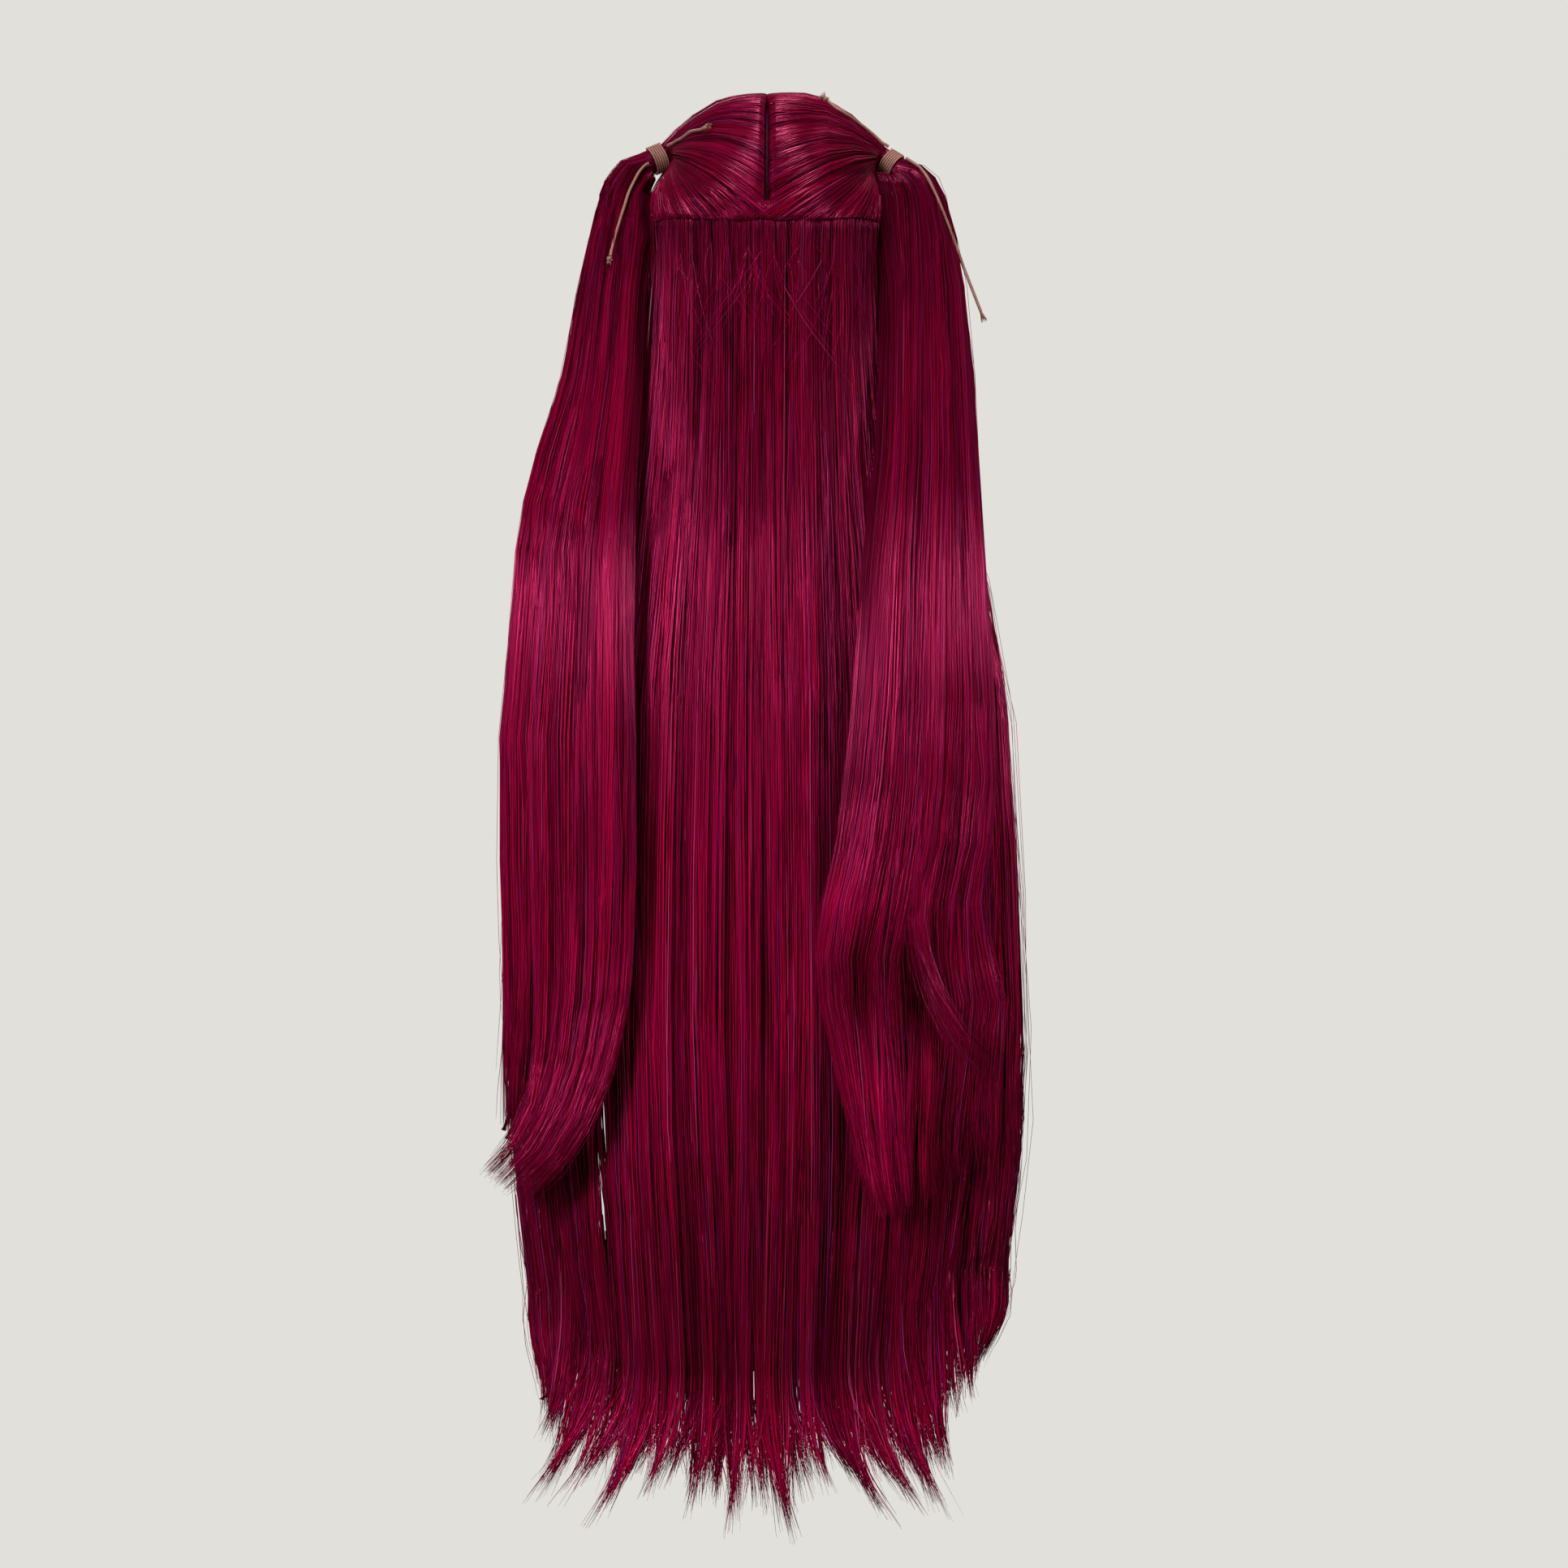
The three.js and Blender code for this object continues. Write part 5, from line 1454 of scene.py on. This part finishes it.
# %% Draw the tails' strands
TAIL_TIPS = {
    # share from the outer to the inner edge, tip x, tip z, how far it stands off, and the way it points in x
    "left": np.array([
        (0, -178, -704, -2, 0),
        (0.26, -170, -700, -2, 0),
        (0.32, -193, -731, 5, -0.8),
        (0.6, -186, -740, 6, -0.85),
        (1, -166, -747, 5, -0.85),
    ]),
    "right": np.array([
        (0, 138, -722, 2, 0.1),
        (0.25, 121, -745, 3, 0.1),
        (0.5, 97, -760, 3, 0.05),
        (0.75, 84, -762, 3, 0.15),
        (1, 74, -754, 2, 0.2),
    ]),
}
TAIL_ROWS = {
    "left": np.array([0, 0.5, 1, 1.6, 2.3, 3, 4, 5.5, 7, 8, 9, 10, 11.5, 13, 14]),
    "right": np.array([0, 1, 2, 3, 4, 5.5, 7, 8.5, 10, 11, 11.8, 12.5, 13.2, 13.9, 14.5]),
}
TIP_SHARES = {"left": np.array([0.22, 0.45, 0.65, 0.83, 1]), "right": np.array([0.3, 0.55, 0.8, 1])}
TAIL_STRANDS = 1300
TAIL_CLUMPS = 170
TAIL_RIPPLE = 1.3
TAIL_TURN_SAMPLES = 721
TAIL_FLATNESS = 0.5
TAIL_SEEN_SIDE = 1.6
TAIL_HAIR = {
    # the tint is a middle and a spread, the thickness two limits, straying a chance and a width
    "spread": 0.035, "spreads": (1.3, 0.9), "sway": 0.05, "sway_waves": 1.3, "sways": (0.1, 0.5),
    "clump_layer": 0.9, "surface": 0.6, "edge_relief": 0.3, "ripples": (0.05, 0.3),
    "shorter": 0.45, "shorter_power": 1.8, "tint": (0.5, 0.14), "thickness": (0.24, 0.44),
    "straying": (0.04, 5), "tip": 0.25, "taper": 14,
}
TAIL_NECK = {"inset": 0.3, "widest": 7.9}
TAIL_CORES = {
    "left": {"depth": 4.5, "tips_below": -640, "tips_share": 0.72, "tips_x": -152},
    "right": {"depth": 4.5, "tips_below": -670, "tips_share": 0.6, "tips_x": 90},
}


def tail_turns(count):
    """Angles round a flat section, evenly spread along its face, with more on the side that is seen."""
    turn = np.linspace(0, 2 * np.pi, TAIL_TURN_SAMPLES)
    density = np.hypot(np.sin(turn), TAIL_FLATNESS * np.cos(turn))
    density = density * np.where(np.sin(turn) < 0, TAIL_SEEN_SIDE, 1)
    way = np.cumsum(density) / density.sum()
    return np.interp((np.arange(count) + random.uniform(0, 1, count)) / count, way, turn)


def tail_strands(name):
    """The hair of one tail, from inside its tie to its tips."""
    rows = TAIL_ROWS[name]
    clump = random.integers(0, TAIL_CLUMPS, TAIL_STRANDS)
    down = np.linspace(0, 1, len(rows))[None, :]
    within = random.normal(0, TAIL_HAIR["spread"], (TAIL_STRANDS, 1))
    phase = random.uniform(0, 2 * np.pi, TAIL_CLUMPS)[clump][:, None]
    sway = TAIL_HAIR["sway"] * np.sin(2 * np.pi * down * TAIL_HAIR["sway_waves"] + phase)
    sway = sway * smooth(*TAIL_HAIR["sways"], down)
    angle = tail_turns(TAIL_CLUMPS)[clump][:, None] + within * mix(*TAIL_HAIR["spreads"], down) + sway
    layer = np.abs(random.normal(0, 1, TAIL_STRANDS))
    layer = layer + random.normal(0, TAIL_HAIR["clump_layer"], TAIL_CLUMPS)[clump] - TAIL_HAIR["surface"]
    ripple = random.normal(0, TAIL_RIPPLE, (TAIL_CLUMPS, len(rows)))[clump]
    on_face = mix(TAIL_HAIR["edge_relief"], 1, np.abs(np.sin(angle[:, :1])))
    inset = (layer[:, None] + ripple * smooth(*TAIL_HAIR["ripples"], down)) * on_face
    share = (1 - np.cos(angle[:, -1])) / 2
    tip_share = mix(share, np.round(share * TAIL_TIP["locks"]) / TAIL_TIP["locks"], TAIL_TIP["gather"])
    tips = TAIL_TIPS[name]
    tip = np.stack([np.interp(tip_share, tips[:, 0], column) for column in tips.T[1:]], axis=-1)
    tip[:, 2] *= TAIL_TIP["behind"] + TAIL_TIP["in_front"] * (np.sin(angle[:, -1]) < 0)
    tip[:, :2] += random.normal(0, TAIL_TIP["spread"], (TAIL_STRANDS, 2))
    length = 1 - TAIL_HAIR["shorter"] * random.random((TAIL_STRANDS, 1)) ** TAIL_HAIR["shorter_power"]
    neck_radius = np.minimum(TIE["neck_radius"] - TAIL_NECK["inset"] - inset[:, :1], TAIL_NECK["widest"])
    neck = [
        tie_circle(name, distance, angle[:, :1], neck_radius)
        for distance in (0, TIE_HALF_LENGTH + 2 * TIE["gap"])
    ]
    paths, shades = tail_paths(name, angle, inset, rows, tip, TIP_SHARES[name][None, :] * length)
    paths = np.concatenate([*neck, paths], axis=1)
    shades = np.concatenate([shades[:, :1], shades[:, :1], shades], axis=1)
    tints = random.normal(*TAIL_HAIR["tint"], TAIL_CLUMPS)[clump]
    draw_hair("tail_strands_" + name, "tail_" + name, paths, shades, tints, TAIL_HAIR)


for name in TIES:
    core_from_node("tail_" + name, "tail_core_" + name, HANGING_CORE_MATERIAL, **TAIL_CORES[name])
    tail_strands(name)

# %% [markdown]
# ## The side lock
# On the right tail one lock leaves the face and flicks outwards. It is made like the tail's own hair, with
# fewer strands and with tips of its own.

# %% Draw the side lock
SIDE_LOCK = {
    "strands": 170, "rows": np.array([9, 10, 11, 11.7, 12.3]), "across": 0.12, "spread": 0.09,
    "layer": 0.8, "rises": (1.5, -1.5), "tip": (152, -664), "tip_spread": 6, "points_to": 0.8,
    "stands_off": 4, "tip_shares": np.array([[0.2, 0.4, 0.6, 0.8, 1]]),
    "shorter": 0.35, "shorter_power": 1.5, "tint": 0.55, "thickness": (0.2, 0.38),
}


def side_lock():
    """The lock that leaves the face of the right tail and flicks outwards."""
    rows = SIDE_LOCK["rows"]
    count = SIDE_LOCK["strands"]
    middle = 2 * np.pi - math.acos(SIDE_LOCK["across"])
    angle = middle + random.normal(0, SIDE_LOCK["spread"], (count, 1)) + np.zeros((1, len(rows)))
    down = np.linspace(0, 1, len(rows))[None, :]
    inset = np.abs(random.normal(0, SIDE_LOCK["layer"], (count, 1))) + mix(*SIDE_LOCK["rises"], down)
    tip = [*SIDE_LOCK["tip"], SIDE_LOCK["stands_off"], SIDE_LOCK["points_to"]]
    tip = np.tile(tip, (count, 1))
    tip[:, :2] += random.normal(0, SIDE_LOCK["tip_spread"], (count, 2))
    length = 1 - SIDE_LOCK["shorter"] * random.random((count, 1)) ** SIDE_LOCK["shorter_power"]
    paths, shades = tail_paths("right", angle, inset, rows, tip, SIDE_LOCK["tip_shares"] * length)
    tints = strand_tints(np.full(count, SIDE_LOCK["tint"]))
    thickness = random.uniform(*SIDE_LOCK["thickness"], count)
    strand_piece("side_lock_right", "tail_right", paths, thickness, tints, shades)


side_lock()

# %% [markdown]
# ## Flyaway hairs
# Synthetic fibre charges itself when it is brushed, so some hairs never lie down. They show best below the
# roll of the crown, where they cross the straight fall. Each is a thin arc whose heading turns evenly.

# %% Let a few hairs fly away
FLYAWAYS = 70
FLYAWAY_POINTS = 8
FLYAWAY = {
    # angles in radians, and limits as pairs
    "turning": 0.9, "heading": 0.3, "steepest": 0.65, "length": (25, 110), "x": (-72, 72), "z": (-125, -82),
    "lift": (1, 4), "tint": (0.6, 1), "shade": 1.3, "tip": 0.5,
}


def flyaway_paths():
    """Short arcs that start near the roll and hang just off the loose hair."""
    turning = random.normal(0, FLYAWAY["turning"], (FLYAWAYS, 1)) * np.linspace(0, 1, FLYAWAY_POINTS)
    heading = random.normal(0, FLYAWAY["heading"], (FLYAWAYS, 1)) + turning
    heading = np.clip(heading, -FLYAWAY["steepest"], FLYAWAY["steepest"])
    step = random.uniform(*FLYAWAY["length"], (FLYAWAYS, 1)) / FLYAWAY_POINTS
    x = random.uniform(*FLYAWAY["x"], (FLYAWAYS, 1)) + np.cumsum(np.sin(heading) * step, axis=1)
    z = random.uniform(*FLYAWAY["z"], (FLYAWAYS, 1)) - np.cumsum(np.cos(heading) * step, axis=1)
    lift = random.uniform(*FLYAWAY["lift"], (FLYAWAYS, 1)) * np.sin(np.linspace(0, np.pi, FLYAWAY_POINTS))
    return np.stack([x, loose_outer_y(x, np.minimum(z, LOOSE_TOP)) - lift, z], axis=-1)


arcs = flyaway_paths()
strand_piece(
    "flyaway_hairs", "loose_hair", arcs, np.full(FLYAWAYS, FLYAWAY_RADIUS),
    random.uniform(*FLYAWAY["tint"], FLYAWAYS), np.full(arcs.shape[:2], FLYAWAY["shade"]), tip=FLYAWAY["tip"],
)

# %% [markdown]
# ## The wound ties
# Each bunch is held by six close turns of the same cord, drawn tight and so thinner. A torus for each turn
# would look like a stack of rings, so the winding is one helix, and the free cords start close beside it.

# %% Wind the ties
WINDING_STEPS = 20
WOUND_SHARE = 0.62


def wind_tie(name):
    """A helix of cord round the bunch, turned into a mesh."""
    radius = TIE["neck_radius"] + TIE["gap"] + CORD_DIAMETER / 2
    count = WINDING_STEPS * TIE["turns"] + 1
    turn = np.linspace(0, 2 * np.pi * TIE["turns"], count)
    reach = TIE_HALF_LENGTH - CORD_DIAMETER / 2
    points = []
    for angle, distance in zip(turn, np.linspace(-reach, reach, count)):
        points.append(tie_circle(name, distance, np.array(angle), radius))
    winding = smooth_curve("tie_winding_" + name, points, CORD_DIAMETER * WOUND_SHARE)
    curve_to_mesh(winding)
    finish_piece(winding, "tie_" + name, CORD_MATERIAL)
    print(winding.name, "has", len(winding.data.polygons), "faces")


for name in TIES:
    wind_tie(name)

# %% [markdown]
# ## Knots
# Three of the free ends have a small overhand knot whose last few millimetres are frayed. The knot is a
# trefoil curve, which is what an overhand knot is once it is pulled tight, and the fraying is a tuft of short
# fibres. The lower end on the right has no knot and only frays.

# %% Tie the knots
KNOT = {"size": 0.78, "points": 40, "past_end": 2.4, "height": 0.9, "cord": 1.5}
TREFOIL_HALF = 1.5
KNOT_FIBRES = 26
TUFT = {
    "past_knot": 4.2, "past_cord": 0.1, "root": 0.8, "lengths": (0.6, 1), "points": 5, "curl": 0.6,
    "radius": 0.26, "tint": 0.5,
}
KNOT_ENDS = {
    "left_up": {"turned": True, "tuft": 3.2, "spread": 0.35},
    "left_down": {"turned": True, "tuft": 2.6, "spread": 0.3},
    "right_up": {"turned": True, "tuft": 4, "spread": 0.8},
    "right_down": {"turned": False, "tuft": 8, "spread": 0.22},
}


def cord_end_frame(name):
    """The cord's last point and three directions, the first along the cord."""
    last = np.array(CORD_ROUTES[name][-1], float)
    along = unit(last - np.array(CORD_ROUTES[name][-2], float))
    side = unit(np.cross([0, 1, 0], along))
    return last, along, side, np.cross(along, side)


def knot_points(name):
    """A trefoil that stands across the cord, just past its end."""
    last, along, side, other = cord_end_frame(name)
    points = []
    for angle in np.linspace(0, 2 * np.pi, KNOT["points"]):
        x = math.sin(angle) + 2 * math.sin(2 * angle)
        y = math.cos(angle) - 2 * math.cos(2 * angle)
        z = -math.sin(3 * angle)
        across = (side * x + other * y) * KNOT["size"] / TREFOIL_HALF
        points.append(last + along * (KNOT["past_end"] + z * KNOT["height"]) + across)
    return points


def tuft_paths(name, start, length, spread):
    """Short fibres that fan out from the end of the cord."""
    last, along, side, other = cord_end_frame(name)
    angle = random.uniform(0, 2 * np.pi, KNOT_FIBRES)
    lean = np.sqrt(random.random(KNOT_FIBRES))
    outwards = side * np.cos(angle)[:, None] + other * np.sin(angle)[:, None]
    root = last + along * start + outwards * TUFT["root"] * lean[:, None]
    reach = length * random.uniform(*TUFT["lengths"], KNOT_FIBRES)[:, None]
    parts = np.linspace(0, 1, TUFT["points"])[None, :, None]
    away = along * reach + outwards * reach * spread * lean[:, None]
    return root[:, None] + away[:, None] * parts + outwards[:, None] * TUFT["curl"] * parts ** 2


def tie_knot(name, turned, tuft, spread):
    """The knot and its tuft as one piece."""
    start = TUFT["past_knot"] if turned else TUFT["past_cord"]
    paths = tuft_paths(name, start, tuft, spread)
    thickness = np.full(KNOT_FIBRES, TUFT["radius"])
    tints = np.full(KNOT_FIBRES, TUFT["tint"])
    shades = np.ones(paths.shape[:2])
    piece = strand_piece("knot_tuft_" + name, "knot_" + name, paths, thickness, tints, shades)
    if turned:
        wrap = smooth_curve("knot_wrap_" + name, knot_points(name), KNOT["cord"])
        curve_to_mesh(wrap)
        piece.select_set(True)
        bpy.context.view_layer.objects.active = piece
        bpy.ops.object.join()
    piece.name = "knot_end_" + name
    finish_piece(piece, "knot_" + name, CORD_MATERIAL)
    return piece


for name, form in KNOT_ENDS.items():
    knot = tie_knot(name, **form)
    cord = finish_piece(cord_ends[name], "cord_" + name, CORD_MATERIAL)
print("knots:", list(KNOT_ENDS))

# %% [markdown]
# ## The cap and the parting
# The cap is a stretch net with rows of sewn wefts. It shows in front, from below and along the parting, where
# a dark sewn strip holds both halves of the hair. The net is a copy of the cap's solid, rounded by
# subdivision, with its mesh of threads as a bump; the parting's stitches are small and real.

# %% Finish the cap and sew the parting
NET_TONES = [(0, (0.06, 0.008, 0.024)), (0.6, (0.012, 0.002, 0.006))]
NET_THREADS = {"Scale": 420}
NET_BUMP = {"Strength": 0.7, "Distance": 0.0006}
NET_ROUGHNESS = 0.8
STITCH = {"pitch": 1.5, "radius": 0.22, "tint": 0.93, "tip": 0.9, "from_ends": 3, "lift": 0.3}
STITCH_POINTS = [
    # degrees along the parting, x
    (0, 0.15),
    (0.3, 0.6),
    (0.6, 1.15),
]


def net_finish():
    """Dark stretch net: fine crossing threads over cloth."""
    material, tree, shader = new_material("cap_net", {"Roughness": NET_ROUGHNESS})
    place = add_node(tree, "TexCoord")
    threads = add_node(tree, "TexVoronoi", NET_THREADS)
    colour = add_node(tree, "ValToRGB")
    set_ramp(colour, NET_TONES)
    bump = add_node(tree, "Bump", NET_BUMP)
    add_links(
        tree,
        (place, "Object", threads, "Vector"),
        (threads, "Distance", colour, "Fac"),
        (colour, "Color", shader, "Base Color"),
        (threads, "Distance", bump, "Height"),
        (bump, "Normal", shader, "Normal"),
    )
    return material


def round_copy(node, name, material):
    """A copy of a solid with its facets rounded."""
    piece = solid_copy(node, name, as_quads=True)
    rounding = piece.modifiers.new("rounding", "SUBSURF")
    rounding.levels = 1
    rounding.render_levels = 1
    bpy.ops.object.modifier_apply(modifier=rounding.name)
    bpy.ops.object.shade_smooth()
    finish_piece(piece, node, material)
    print(name, "has", len(piece.data.polygons), "faces")


def stitch_paths():
    """Slanted stitches on both sides of the parting's strip."""
    low = PARTING["front"] + STITCH["from_ends"]
    high = PARTING["back"] - STITCH["from_ends"]
    length = math.radians(high - low) * HEAD["above"]
    along = np.linspace(low, high, int(length / STITCH["pitch"]))
    paths = []
    for side in (-1, 1):
        ends = []
        for shift, x in STITCH_POINTS:
            point = head_point(direction(0, along + shift), CAP_TOP + STITCH["lift"])
            point[:, 0] = side * x
            ends.append(point)
        paths.append(np.stack(ends, axis=1))
    return np.concatenate(paths)


CAP_MATERIAL = net_finish()
round_copy("wig_cap", "cap_shell", CAP_MATERIAL)
round_copy("parting_weft", "parting_strip", CAP_MATERIAL)
stitches = stitch_paths()
strand_piece(
    "parting_stitches", "parting_weft", stitches, np.full(len(stitches), STITCH["radius"]),
    np.full(len(stitches), STITCH["tint"]), np.ones(stitches.shape[:2]), tip=STITCH["tip"],
)
